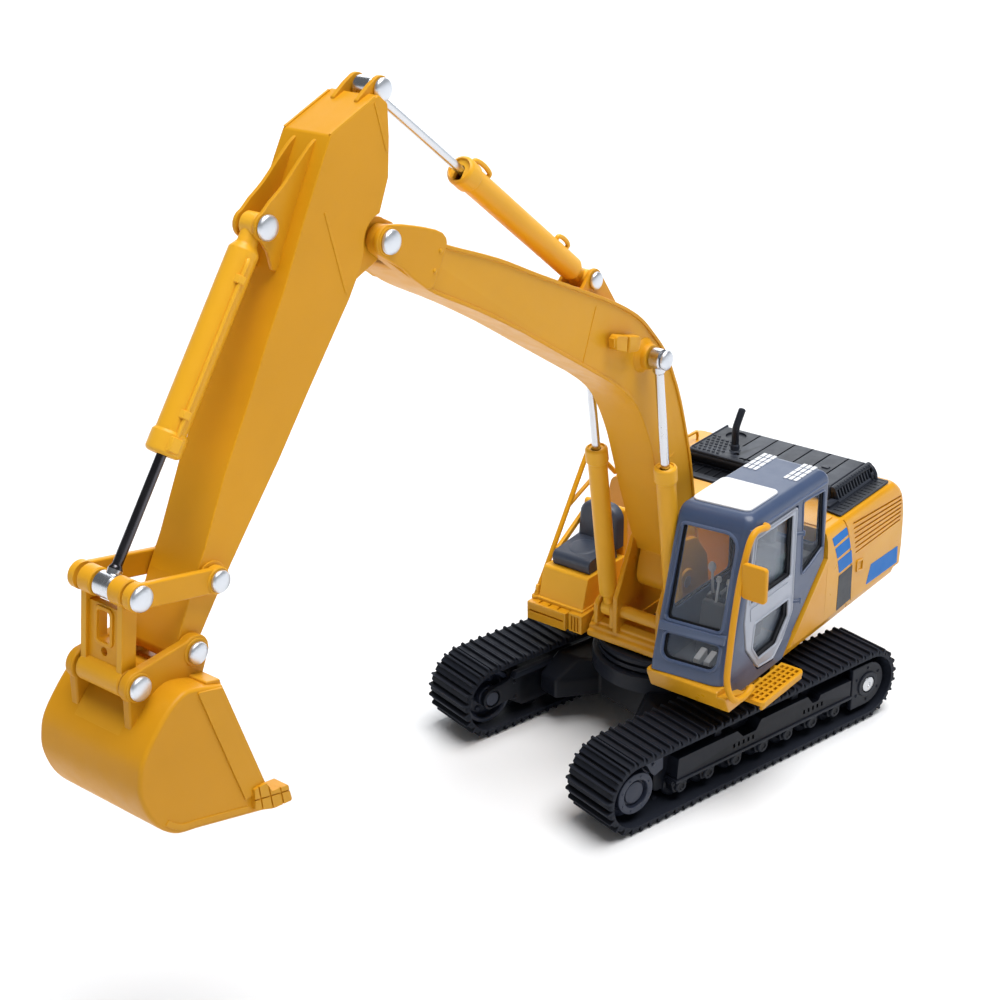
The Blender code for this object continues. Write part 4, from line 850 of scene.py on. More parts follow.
# ------------------------------------------------------------------ engine hood
def hood_shape():
    prof = rounded([(-62.1, 57.05, 0), (-62.1, 61.4, 1.9), (-40.4, 61.4, 1.3), (-40.4, 57.05, 0)], 0, 6)
    body = prism(prof, -21.3, 24.4, bev=0.55, seg=3, ang=50)
    tools = [prism(rounded([(-61.0, y - 0.26), (-41.6, y - 0.26), (-41.6, y + 0.26), (-61.0, y + 0.26)], 0.25, 3), 60.95, 63, "z") for y in (-3.4, 2.3, 8.0, 13.7, 19.4)]
    tools.append(prism(rounded([(-61.0, -9.36), (-50.6, -9.36), (-50.6, -8.84), (-61.0, -8.84)], 0.25, 3), 60.95, 63, "z"))
    tools.append(prism(rounded([(-62.9, 58.0), (-61.85, 58.0), (-61.85, 58.5), (-62.9, 58.5)], 0.1, 2), -20.5, 23.5))
    tools.append(box(-41.9, -39, -20.6, 23.7, 57.3, 59.7))
    tools.append(prism(rounded([(-43.4, -5.6), (-42.4, -5.6), (-42.4, -2.0), (-43.4, -2.0)], 0.4, 3), 60.9, 63, "z"))
    tools.append(rod((-44.8, -7.7, 60.8), (-44.8, -7.7, 63), 0.9, 20))
    tools.append(lathe([(0, 60.9), (2.9, 60.9), (3.2, 62), (0, 62)], (-56.2, -14.8, 0), (0, 0, 1), 32))
    body = cut(body, *tools)
    parts = [body]
    for i in range(7):
        for k in range(6):
            x, y = -42.4 - 1.75 * i, -19.9 + 1.5 * k + (0.75 if i % 2 else 0)
            if (x + 47.1) ** 2 + (y + 9.6) ** 2 > 9.0 and (x + 56.2) ** 2 + (y + 14.8) ** 2 > 16.0 and y < -10.8:
                parts.append(dome((x, y, 61.4), (0, 0, 1), 0.5, 0.32, 10))
    rim = [(-61.4, -20.9, 61.3), (-42.0, -20.9, 61.3), (-41.0, -20.3, 61.2), (-40.8, -19.0, 61.15), (-40.8, 10.0, 61.15), (-40.8, 23.0, 61.15)]
    parts.append(tube(rim, 0.38, 10))
    parts.append(lathe([(0, 60.8), (1.75, 60.8), (1.75, 61.45), (1.6, 61.6), (0, 61.6)], (-47.1, -9.6, 0), (0, 0, 1), 28))
    parts.append(prism(rounded([(-52.2, 16.0), (-50.6, 16.0), (-50.6, 18.2), (-52.2, 18.2)], 0.3), 61.2, 61.7, "z", bev=0.2))
    return group(*parts)


piece("hood", "house", hood_shape(), charcoal, ["engine_hood"], ang=38)


def grille_shape():
    base = prism(rounded([(-61.6, 24.7), (-35.0, 24.7), (-33.6, 31.6), (-61.6, 31.6)], 0.6, 3), 56.95, 57.5, "z", bev=0.15)
    lines = [prism([(-60.8 + 1.9 * k, 28.2), (-60.45 + 1.9 * k, 28.2), (-60.45 + 1.9 * k, 31.0), (-60.8 + 1.9 * k, 31.0)], 57.25, 58, "z") for k in range(14)]
    base = cut(base, *lines)
    # darker plate behind the fins: painted shade for the opening behind the grille
    back = prism([(24.7, 57.2), (26.3, 57.2), (25.3, 60.4), (24.7, 60.6)], -61.2, -40.8, "x")
    parts = [base, paint(back, 1)]
    roll = [(24.7, 59.9), (25.3, 59.9), (26.1, 60.2), (26.2, 60.75), (25.9, 61.2), (25.3, 61.45), (24.7, 61.5)]
    parts.append(prism(roll, -61.6, -40.5, "x", bev=0.12))
    for k in range(15):
        parts.append(dome((-60.2 + 1.34 * k, 25.75, 61.25), (0, 0.5, 0.87), 0.42, 0.28, 10))
    for k in range(14):
        x = -61.1 + 1.53 * k
        parts.append(prism([(24.9, 57.3), (27.3, 57.3), (27.2, 57.9), (26.1, 60.5), (24.9, 60.6)], x - 0.33, x + 0.33, "x", bev=0.1))
    parts.append(prism([(24.9, 57.2), (27.6, 57.2), (27.6, 57.75), (27.2, 58.05), (24.9, 58.05)], -61.6, -40.4, "x", bev=0.12))
    parts.append(prism(rounded([(-40.4, 24.9), (-36.0, 24.9), (-35.6, 27.2), (-40.4, 27.2)], 0.3), 57.3, 58.2, "z", bev=0.2))
    # curled strap at the rear corner
    parts.append(tube([(-60.9, 24.7, 60.9), (-60.9, 25.6, 60.9), (-60.9, 26.4, 60.6), (-60.8, 27.2, 59.8), (-60.7, 27.8, 58.8), (-60.6, 28.1, 57.5)], 0.62, 12, 4, flat=0.6))
    parts.append(tube([(-59.4, 27.6, 57.4), (-59.3, 27.4, 58.2), (-59.6, 27.1, 58.9), (-60.4, 27.2, 59.3)], 0.4, 10, 4))
    return group(*parts)


piece("grille", "house", grille_shape(), [charcoal, gasket], ["engine_grille"])

bend = [(-47.1, -9.6, 61.7), (-47.1, -9.6, 64.4), (-47.1, -9.6, 67.2), (-47.5, -9.6, 68.6), (-48.6, -9.6, 70.3), (-50.3, -9.6, 72.7)]
stack = tube(bend, 1.05, 24, 5)
collar = lathe([(0, 61.6), (1.3, 61.6), (1.3, 63.0), (1.1, 63.3), (0, 63.3)], (-47.1, -9.6, 0), (0, 0, 1), 28)
ax = (Vector(bend[-1]) - Vector(bend[-2])).normalized()
# dark disc on the stack's closed end: painted shade standing in for the open pipe
mouth = paint(lathe([(0, -0.4), (0.75, -0.4), (0.75, 0.29), (0, 0.29)], bend[-1], ax, 20), 1)
piece("exhaust", "house", group(stack, collar, mouth), [charcoal, gasket], ["exhaust_pipe"])


# ------------------------------------------------------------------ cab
FRONT = ((28.0, 26.4), (33.2, 26.3), (36.0, 25.9), (73.2, 15.2), (75.2, 14.2))
REAR = ((28.0, -2.5), (33.2, -7.6), (49.6, -23.6), (80.0, -23.6))


SKEW = 2.1
CAB_RIGHT = 13.05


def oblique(y):
    return SKEW * max(0.0, min(1.0, (CAB_Y1 - y) / (CAB_Y1 - CAB_RIGHT)))


def cab_ring(z, i=0.0, at=None):
    zz = z if at is None else at
    xf, xr = lerp(FRONT, zz) - i, lerp(REAR, zz) + i
    y0, y1 = CAB_RIGHT + (i if at is None else min(i, 1.3) if i > 1.29 and z < 74 else i * 0.4), CAB_Y1 - i
    rf, rr = max(0.6, lerp(((33.2, 3.2), (73, 2.6)), zz) - i * 0.5), max(0.4, 1.6 - i * 0.4)
    r0 = max(0.5, 1.1 - i * 0.3)
    pts = [(x + oblique(y), y) for x, y in arc((xf - r0, y0 + r0), r0, -90, 0, 6) + arc((xf - rf, y1 - rf), rf, 0, 90, 6)] + arc((xr + rr, y1 - rr), rr, 90, 180, 4) + arc((xr + rr, y0 + rr), rr, 180, 270, 4)
    return [(x, y, z) for x, y in pts]


def cab_solid(i, z0, z1, roof):
    zs = [z0] + [z for z in (36.0, 42, 46, 49.6, 52, 56, 60, 64, 68, 71.0) if z0 < z < z1 - 3.4]
    rings = [cab_ring(z, i) for z in zs]
    for dz, di in roof:
        rings.append(cab_ring(z1 - dz, i + di, min(z1 - dz, 73.4)))
    return loft(rings)


ROOF = ((3.2, 0.0), (2.3, 0.12), (1.4, 0.5), (0.7, 1.1), (0.25, 1.9), (0.0, 3.0))
outer = cab_solid(0.0, 33.2, CAB_TOP, ROOF)
hollow = cab_solid(1.3, 31.0, CAB_TOP - 1.4, ROOF)
skirt = prism([(-7.4, 33.9), (-2.9, 28.4), (22.6, 28.4), (22.6, 33.9)], 32.0, CAB_Y1)
cab = cut(outer, hollow)
cab = unite(cab, skirt)
WIN_FRONT = rounded([(15.1, 46.3, 1.2), (30.6, 46.3, 1.4), (30.4, 70.6, 3.8), (14.9, 70.6, 1.1)], 1.2, 6)
WIN_LOW = rounded([(15.6, 36.6, 2.6), (31.0, 36.6, 2.6), (31.0, 43.7, 1.4), (15.4, 43.7, 1.4)], 1.5, 6)
WIN_RIGHT = rounded([(-8.5, 46.5), (20.2, 46.5), (13.6, 71.0), (-8.5, 71.0)], 1.8, 5)
WIN_BACK = rounded([(16, 52.5), (30.7, 52.5), (30.7, 70.5), (16, 70.5)], 1.8, 5)
DOOR = rounded([(-7.3, 71), (-7.5, 40.8), (-2.7, 34.0), (1.9, 30.2), (9.8, 31.0), (16.4, 39.3), (17.7, 47.6), (14.9, 71)], 0.8, 4)
WIN_QUARTER = rounded([(-9.6, 70.9), (-20.6, 70.2), (-21.6, 53.4), (-14.9, 50.6), (-10.6, 49.4)], 0.9, 5)
cab = cut(cab, prism(WIN_FRONT, 5, 40, "x"), prism(WIN_LOW, 12, 40, "x"), prism(WIN_RIGHT, 10, 17), prism(WIN_BACK, -30, -18, "x"),
          prism(DOOR, 30.5, 36), prism(WIN_QUARTER, 30.5, 36))


def on_front(pts, out):
    """Points (y, z) of the front wall, lifted out along its slope."""
    res = []
    for y, z in pts:
        x = lerp(FRONT, z) + oblique(y)
        for edge, s in ((CAB_Y1, -1),):
            d = 3.0 - s * (y - edge)
            if d > 0:
                x -= 3.0 - math.sqrt(max(0.0, 9.0 - d * d))
        res.append((x + out, y, z + out * 0.28))
    return res


def seal(outer, grow, at, d0, d1, dx=0.0, dz=0.0):
    """A dark strip set into an opening; its inner edge is moved by dx, dz so that one side shows wider."""
    inner = [(a + dx, b + dz) for a, b in inset(outer, grow)]
    n = len(outer)
    verts = [q for ring, dep in ((outer, d0), (inner, d0), (inner, d1), (outer, d1)) for q in at(ring, dep)]
    faces = [(k * n + i, k * n + (i + 1) % n, ((k + 1) % 4) * n + (i + 1) % n, ((k + 1) % 4) * n + i) for k in range(4) for i in range(n)]
    return mesh(verts, faces, 2)


def on_door(pts, y):
    return [(x, y, z) for x, z in pts]


def side_ring(pts, y):
    return [(x, y, z) for x, z in pts]


lips = [tube(on_front(WIN_FRONT, -0.05), 0.5, 8, closed=True), tube(on_front(WIN_LOW, -0.05), 0.5, 8, closed=True),
        tube(side_ring(WIN_QUARTER, CAB_Y1 - 0.1), 0.38, 8, closed=True), tube(side_ring(WIN_RIGHT, CAB_RIGHT + 0.1), 0.4, 8, closed=True),
        tube([(-23.5, y, z) for y, z in WIN_BACK], 0.4, 8, closed=True)]
sill = prism(rounded([(lerp(FRONT, 45.1) - 1.0, 43.9), (lerp(FRONT, 44.2) + 0.75, 43.7), (lerp(FRONT, 45.8) + 0.75, 46.0), (lerp(FRONT, 46.2) - 1.0, 46.2)], 0.3, 3), 14.0, 31.9, bev=0.3)
sill = move(sill, lambda v: (v.x + oblique(v.y), v.y, v.z))
seals = [seal(WIN_FRONT, 0.62, on_front, -0.45, -0.85, 0.3, 0.3), seal(WIN_LOW, 0.62, on_front, -0.45, -0.85, 0.3, 0.3),
         seal(WIN_QUARTER, 0.8, on_door, CAB_Y1 - 0.4, CAB_Y1 - 0.8, 0.45, 0.4), seal(WIN_RIGHT, 0.6, on_door, CAB_RIGHT + 0.4, CAB_RIGHT + 0.8)]
parts = [cab, *lips, sill, *seals]
# gutter along the door side of the roof, and the two vent strips printed on it
parts.append(tube([(-21.6, 33.2, 71.9), (13.6, 33.2, 71.9), (15.0, 32.6, 71.8)], 0.34, 10))
for y0 in (14.3, 26.2):
    for j in range(3):
        for k in range(4):
            x0, y = -22.0 + 2.8 * k, y0 + 1.44 * j
            parts.append(prism(rounded([(x0, y), (x0 + 2.55, y), (x0 + 2.55, y + 1.14), (x0, y + 1.14)], 0.2, 3), 74.9, 75.24, "z", mat=1, bev=0.06))
piece("cab", "house", group(*parts), [cab_blue, white, gasket], ["cab_shell"], ang=36)

# glazing: panes set just behind the openings
panes = []
def front_pane(z0, z1):
    a = [(lerp(FRONT, z0) - 0.75, z0), (lerp(FRONT, z1) - 0.75, z1), (lerp(FRONT, z1) - 1.2, z1), (lerp(FRONT, z0) - 1.2, z0)]
    return move(prism(a, 14.4, 31.4, bev=0.08), lambda v: (v.x + oblique(v.y), v.y, v.z))


panes += [front_pane(45.9, 70.9), front_pane(36.2, 44.2)]
panes.append(prism(inset(WIN_RIGHT, -0.5), CAB_RIGHT + 0.7, CAB_RIGHT + 1.15, bev=0.08))
panes.append(prism(inset(WIN_BACK, -0.5), -22.9, -22.45, "x", bev=0.08))
panes.append(prism(inset(WIN_QUARTER, -0.4), CAB_Y1 - 1.15, CAB_Y1 - 0.7, bev=0.08))
piece("cab_panes", "house", group(*panes), clear, ["cab_glazing"])

hatch = rounded([(11.9, 30.2), (13.5, 14.3), (-2.6, 14.0), (-3.2, 30.2)], 1.9, 6)
piece("hatch", "house", prism(hatch, 74.7, 75.55, "z", bev=0.22, seg=3), white, ["roof_hatch"])


# seat, consoles, levers and floor seen through the panes
def seat_shape():
    cushion = rounded([(4.6, 38.6, 1.4), (4.9, 41.6, 1.4), (-5.0, 41.2, 1.5), (-6.0, 38.0, 0.8)], 1, 6)
    back = rounded([(-4.6, 41.6, 1.0), (-8.0, 56.2, 1.2), (-10.8, 55.8, 1.2), (-8.3, 40.0, 1.2)], 1, 6)
    head = rounded([(-8.3, 57.0, 0.9), (-9.2, 61.6, 0.9), (-11.2, 61.2, 0.9), (-10.4, 56.8, 0.9)], 0.9, 6)
    post = prism([(-3.3, 33.3), (3.0, 33.3), (2.2, 38.9), (-4.0, 38.9)], 20.6, 26.6, bev=0.4)
    parts = [prism(cushion, 19.4, 27.8, bev=0.9, seg=4, ang=50), prism(back, 19.8, 27.4, bev=0.9, seg=4, ang=50), prism(head, 21.4, 25.8, bev=0.7, seg=4, ang=50), post]
    for y in (18.2, 28.0):
        parts.append(prism(rounded([(-4.5, 44.6), (4.2, 44.2), (4.4, 45.7), (-4.6, 46.2)], 0.5), y - 0.7, y + 0.7, bev=0.35))
    return group(*parts)


piece("driver_seat", "house", seat_shape(), seat_pl, ["operator_seat"], ang=40)


def console_shape():
    parts = [paint(prism(rounded([(9.2, 33.3), (15.6, 33.3), (14.4, 38.4), (12.6, 47.4, 0.6), (10.9, 47.8, 0.6), (10.2, 38.6)], 0.3), 18.0, 28.6, bev=0.35), 0)]
    for y in (17.4, 28.8):
        parts.append(paint(prism(rounded([(5.6, 33.3), (8.2, 33.3), (8.0, 46.6, 0.8), (4.6, 46.9, 0.8)], 0.4), y - 1.2, y + 1.2, bev=0.4), 0))
        parts.append(tube([(6.3, y, 46.2), (6.8, y, 50.5), (7.4, y + 0.2, 53.8)], 0.35, 10, 3, mat=1))
        parts.append(lathe([(0, -0.3), (0.7, 0), (1.05, 0.9), (0.95, 1.8), (0.5, 2.4), (0, 2.5)], (7.4, y + 0.2, 53.6), (0.1, 0, 1), 16, 1))
    for y in (21.6, 24.6):
        parts.append(tube([(12.0, y, 46.0), (11.0, y, 50.6), (10.6, y, 53.0)], 0.32, 10, 3, mat=1))
        parts.append(lathe([(0, -0.2), (0.6, 0), (0.8, 0.7), (0.5, 1.5), (0, 1.6)], (10.6, y, 52.8), (-0.1, 0, 1), 14, 1))
        parts.append(paint(prism(rounded([(15.9, 33.3), (20.6, 33.3), (20.2, 35.0), (16.2, 36.6)], 0.4), y - 0.9, y + 0.9, bev=0.3), 1))
    parts.append(paint(prism(rounded([(-10.5, 47.0), (-4.6, 47.0), (-5.2, 55.4), (-10.0, 55.4)], 0.8), 28.6, 31.2, bev=0.5), 2))
    parts.append(paint(box(-20.2, -12.0, 15.0, 31.2, 49.2, 52.0, 0.5), 0))
    parts.append(paint(prism([(-5.5, 33.25), (24.0, 33.25), (24.0, 33.6), (-5.5, 33.6)], 14.7, 31.6), 0))
    return group(*parts)


piece("consoles", "house", console_shape(), [trim, pale, teal], ["control_console"])

# ------------------------------------------------------------------ door
leaf_out = rounded([(-6.9, 70.6), (-7.1, 41.0), (-2.4, 34.3), (2.0, 30.6), (9.6, 31.4), (16.0, 39.5), (17.3, 47.6), (14.6, 70.6)], 0.9, 5)
win_up = rounded([(13.1, 69.4), (-4.9, 69.4), (-5.2, 51.5), (14.9, 51.5)], 0.9, 5)
win_lo = rounded([(12.0, 45.4), (-4.6, 45.4), (-4.7, 40.2), (0.8, 34.2), (9.6, 34.0), (13.0, 38.7)], 0.8, 5)
leaf = prism(leaf_out, 32.1, 33.3, bev=0.25)
leaf = cut(leaf, prism(win_up, 30, 36), prism(win_lo, 30, 36))
dparts = [leaf, tube([(x, 33.25, z) for x, z in win_up], 0.34, 8, closed=True), tube([(x, 33.25, z) for x, z in win_lo], 0.34, 8, closed=True)]
o = inset(leaf_out, 0.35)
dparts.append(tube([(x, 33.28, z) for x, z in o], 0.3, 8, closed=True))
dparts.append(prism(rounded([(-4.6, 46.6), (14.2, 46.6), (14.6, 50.4), (-4.4, 50.4)], 0.5), 33.1, 33.5, bev=0.15))
dparts += [seal(win_up, 0.85, on_door, 32.9, 32.2, 0.5, 0.45), seal(win_lo, 0.95, on_door, 32.9, 32.2, 0.6, 0.5)]
for z0, z1 in ((41.6, 45.4), (61.0, 64.8)):
    dparts.append(rod((-8.4, 34.6, z0 + 1.2), (-8.4, 34.6, z1 - 1.2), 0.36, 18, 0.08, 1))
    dparts.append(prism([(-8.5, 34.3), (-8.3, 34.9), (-6.7, 33.6), (-6.4, 33.1), (-7.0, 33.1)], z0 + 1.45, z1 - 1.45, "z", bev=0.06, mat=1))
piece("door_leaf", "door", group(*dparts), [silver, cab_blue, gasket], ["cab_door"], ang=36)
pane = rounded([(13.8, 70.1), (-5.6, 70.1), (-5.8, 40.6), (0.4, 33.6), (10.2, 33.4), (13.9, 38.2), (15.7, 50.6)], 0.6, 4)
piece("door_pane", "door", prism(pane, 31.35, 31.8, bev=0.08), pale_reflection_pane, ["door_glazing"])

# ------------------------------------------------------------------ rails, mirror, step
rail = [(10.2, 33.65, 71.9), (10.4, 34.5, 72.0), (11.8, 35.1, 72.4), (15.2, 35.2, 73.2), (17.6, 35.2, 73.0), (19.4, 35.1, 71.2), (21.0, 35.0, 67.4), (22.9, 34.9, 61.6),
        (24.9, 34.9, 53.0), (26.5, 35.0, 44.0), (27.6, 35.2, 37.0), (27.7, 36.2, 33.4), (26.6, 36.8, 31.4), (24.2, 36.9, 30.4), (21.2, 36.9, 30.3), (18.6, 36.8, 31.0), (17.3, 36.2, 30.4), (17.1, 35.3, 29.6)]
piece("handrail", "house", tube(rail, 0.85, 16, 4), yellow, ["cab_handrail"])
plate = rounded([(35.4, 57.9), (42.2, 57.9), (42.2, 67.4), (35.4, 67.4)], 1.0, 6)
housing = prism(plate, 21.7, 23.2, "x", bev=0.45, seg=3)
glass = paint(prism(inset(plate, 0.9), 21.45, 21.9, "x", bev=0.1), 1)
stalk = tube([(22.0, 34.9, 62.4), (22.4, 35.6, 62.6), (22.5, 37.0, 62.6)], 0.55, 12, 3)
piece("side_mirror", "house", group(housing, glass, stalk), [yellow, mirror_face], ["mirror"])


def step_shape():
    x0, x1, y0, y1, z0, z1 = -2.2, 18.6, 33.6, 40.5, 26.6, 27.8
    out = rounded([(x0, y0), (x1, y0), (x1, y1, 1.4), (x0, y1, 1.4)], 0.3, 5)
    plate = prism(out, z0, z1, "z", bev=0.18)
    cols, rows = 9, 4
    px, py = (x1 - x0 - 1.6) / cols, (y1 - y0 - 1.2) / rows
    holes = [box(x0 + 0.8 + px * i + 0.42, x0 + 0.8 + px * (i + 1) - 0.42, y0 + 0.6 + py * k + 0.32, y0 + 0.6 + py * (k + 1) - 0.32, z0 - 1, z1 + 1) for i in range(cols) for k in range(rows)]
    plate = cut(plate, *holes)
    hang = [box(x, x + 1.2, 31.9, 34.4, 25.5, 27.6, 0.2) for x in (-0.4, 7.4, 15.2)]
    skirt = prism(rounded([(x0 + 0.6, 25.4), (x1 - 0.4, 25.4), (x1 - 0.4, 26.8), (x0 + 0.6, 26.8)], 0.2), 39.3, 40.1, bev=0.15)
    return group(plate, skirt, *hang)


piece("boarding_step", "house", step_shape(), yellow, ["step_plate"])

# ------------------------------------------------------------------ right front: tool box, moulded bench, guard rail
front = rounded([(15.2, 33.25, 0.5), (12.5, 42.3, 1.0), (-5.0, 42.3, 0.3), (-5.0, 33.25, 0.3)], 0.4, 5)
chest = prism(front, -32.6, -17.8, bev=0.75, seg=4, ang=50)
backing = prism(rounded([(-4.9, 36.0), (-5.0, 56.0, 2.4), (-7.0, 56.0, 2.4), (-7.0, 36.0)], 0.5), -32.0, -18.4, bev=0.5)
plinth = prism(rounded([(-7.2, -33.2), (15.8, -33.2), (15.8, -17.4), (-7.2, -17.4)], 0.5), 32.9, 33.9, "z", bev=0.2)
side_bar = prism(rounded([(6.3, 43.9), (7.2, 45.2), (-5.0, 52.1), (-6.6, 51.2)], 0.3), -32.9, -31.8, bev=0.2)
hook = [tube([(13.6, -33.0, 33.6), (14.6, -33.4, 35.4), (14.3, -33.4, 36.6)], 0.5, 10, 3)]
piece("chest", "house", group(chest, backing, plinth, side_bar, *hook), lit_yellow, ["tool_box"], ang=40)


def bench_shape():
    cushion = rounded([(10.5, 42.35, 0.6), (11.1, 46.1, 1.9), (-2.0, 47.2, 0.8), (-2.6, 42.35, 0.3)], 0.6, 8)
    back = []
    w0, w1 = -31.5, -18.2
    for x, grow in ((-4.4, 0.0), (-4.2, 0.0), (-1.9, 0.0), (-1.3, 0.5), (-0.9, 1.3)):
        o = rounded([(w0 + grow, 45.0), (w1 - grow, 45.0), (w1 - grow - 0.4, 57.0 - grow, 4.0), (w0 + grow + 0.4, 57.0 - grow, 4.0)], 0.6, 8)
        back.append([(x - (z - 45) * 0.07, y, z) for y, z in o])
    a = prism(cushion, w0 + 0.4, w1 - 0.6, bev=1.2, seg=5, ang=45)
    b = loft(back)
    dish = lathe([(0, 0), (4.4, 0), (4.0, 0.28), (3.0, 0.42), (0, 0.46)], (4.4, -25.2, 46.45), (0.085, 0, 1), 40)
    return group(a, b, dish)


piece("bench", "house", bench_shape(), seat_pl, ["bench_cover"], ang=48)

main = [(15.0, -33.5, 33.3), (14.6, -33.5, 34.4), (9.4, -33.5, 41.6), (0.0, -33.5, 55.3), (-7.4, -33.5, 66.0), (-8.9, -33.5, 67.6), (-10.8, -33.5, 68.2), (-12.6, -33.5, 67.2), (-14.0, -33.5, 65.4), (-22.2, -33.5, 57.2)]
branch = [(0.2, -33.5, 55.0), (-5.0, -33.5, 57.0), (-14.6, -33.5, 60.6), (-18.0, -33.5, 61.6)]
foot = lathe([(0, 33.0), (1.3, 33.0), (1.3, 33.7), (1.0, 34.0), (0, 34.0)], (15.0, -33.4, 0), (0, 0, 1), 18)
piece("guard", "house", group(tube(main, 0.72, 14, 4), tube(branch, 0.62, 12, 3), foot), yellow, ["guard_rail"])


# ------------------------------------------------------------------ boom
front_edge = [(6.7, 52.8), (9.8, 60.3), (12.7, 67.7), (15.4, 75.2), (17.9, 82.9), (21, 91.7), (25.5, 100.5), (30, 105.9), (36, 110.6), (42, 114.6), (57.4, 124.7), (71.6, 134), (85, 142), (98, 149.1), (104.4, 153.6)]
nose = [(108.6, 156.8)] + arc(P_NOSE, 3.05, -58, 105, 16)
back_edge = [(107.9, 165.4), (104.6, 164.2), (101.3, 162.8), (97.5, 160.6), (93.5, 158.3), (78, 151.8), (64.4, 145), (50, 138), (36.4, 131.3), (26, 125), (19.7, 119.1), (13.8, 112.3), (10, 105.2), (6.6, 97.5), (2.8, 85.5), (0.5, 76.4), (-2.4, 61), (-3.9, 52.8)]
outline = spline(front_edge, 4) + nose + spline(back_edge, 4)


def boom_shape():
    inner = inset(outline, 0.85)
    web = prism(inset(outline, 0.4), -6.1, 6.1)
    flange = band(outline, inner, -6.55, 6.55, bev=0.22)
    foot = [(5.6, 56.0), (7.9, 48.6)] + arc(P_FOOT, 4.3, 15, -195, 20) + [(-3.0, 56.0)]
    base = prism(foot, -5.2, 5.2, bev=0.35)
    slot = arc(P_NOSE, 4.75, 95, 235, 12) + [(107.2, 153.4), (106.6, 148), (125, 148), (125, 176), (111.9, 176)]
    web = cut(web, prism(slot, -4.4, 4.4), cross(P_NOSE, 1.6, -20, 20))
    flange = cut(flange, prism(slot, -4.4, 4.4))
    parts = [web, flange, base]
    ears = [(97.0, 155.2), (99.4, 151.6), (100.4, 151.0), (101.9, 151.6), (105.2, 154.2), (108.4, 157.2)] + arc(P_NOSE, 3.2, -58, 105, 16) + \
           [(107.9, 166.0), (104.6, 165.0), (101.3, 163.9), (98.2, 162.7), (96.2, 161.6), (95.2, 160.4), (95.0, 159.2)]
    parts.append(both(prism(ears, 6.0, 7.4, bev=0.4, seg=3, ang=50)))
    parts.append(both(group(lathe([(0, 7.0), (2.75, 7.0), (2.75, 7.5), (2.55, 7.65), (0, 7.65)], (P_NOSE[0], 0, P_NOSE[1]), (0, 1, 0), 32))))
    rivets = [dome((97.3, 7.4, 158.2), (0, 1, 0), 0.5, 0.35, 12), dome((99.3, 7.4, 154.6), (0, 1, 0), 0.5, 0.35, 12)]
    parts.append(both(group(*rivets)))
    # bracket for the arm cylinder
    plate = arc(P_AC_BASE, 2.7, 25, 150, 12) + [(31.4, 129.0), (30.8, 127.0), (46.6, 134.0), (45.6, 135.0)]
    parts.append(both(prism(plate, 2.75, 3.8, bev=0.25)))
    # bosses for the boom cylinders
    parts.append(both(group(lathe([(0, 5.8), (4.4, 5.8), (4.2, 6.3), (3.6, 6.9), (3.2, 7.3), (3.1, 8.3), (2.9, 8.55), (0, 8.6)], (P_BC_ROD[0], 0, P_BC_ROD[1]), (0, 1, 0), 36))))
    # weld seams across the side
    parts.append(both(prism(rounded([(42.4, 131.6), (42.9, 131.6), (48.0, 119.4), (47.5, 119.4)], 0.1, 2), 6.0, 6.22, bev=0.08)))
    parts.append(both(prism(rounded([(8.8, 83.6), (14.8, 81.7), (14.9, 82.2), (8.9, 84.1)], 0.1, 2), 6.0, 6.2, bev=0.08)))
    return group(*parts)


piece("boom_box", "boom", boom_shape(), yellow, ["boom"], ang=34)
lamp_o = rounded([(34.3, 118.6, 0.3), (38.6, 120.4, 0.8), (38.8, 124.2, 1.0), (34.0, 122.6, 0.3)], 0.5, 4)
lamp_b = rounded([(29.0, 117.4, 1.2), (33.7, 118.4, 0.4), (33.5, 122.5, 0.4), (28.8, 121.2, 1.2)], 0.5, 5)
lens_o = rounded([(38.55, 121.0), (39.2, 121.2), (39.3, 123.4), (38.6, 123.4)], 0.2, 3)
piece("boom_lamp", "boom", group(prism(lamp_o, 6.85, 9.0, bev=0.35, seg=3), prism(lamp_b, 6.85, 9.1, bev=0.4, seg=3), prism(lens_o, 7.2, 8.7, bev=0.15)), yellow, ["work_lamp"])

piece("boom_nose_pin", "boom", pin_shape(P_NOSE, 1.3, 7.7, 2.45, 1.5), pin_plate, ["arm_pivot_pin"])
piece("arm_cyl_low_pin", "boom", pin_shape(P_AC_BASE, 1.0, 3.9, 2.1, 1.25), pin_plate, ["arm_cylinder_base_pin"])
piece("boom_cyl_top_pin", "boom", pin_shape(P_BC_ROD, 1.0, 12.3, 2.4, 1.35, twin=True), pin_plate, ["boom_cylinder_rod_pin"])

for side, s in (("left", 1), ("right", -1)):
    piece("lift_barrel_" + side, "boom_barrel_" + side, barrel_shape(P_BC_BASE, P_BC_ROD, 49.0, 2.5, 2.1, 2.35, 1.6, 1.3, 2.95, s * CYL_Y, gland=(1.2, -0.34, 0.1)), lit_yellow,
          ["boom_cylinder_barrel_" + side], ang=38)
    piece("lift_rod_" + side, "boom_rod_" + side, piston_shape(P_BC_BASE, P_BC_ROD, 36.0, 1.1, 2.5, 1.5, 1.3, s * CYL_Y), chrome, ["boom_cylinder_rod_" + side], ang=38)


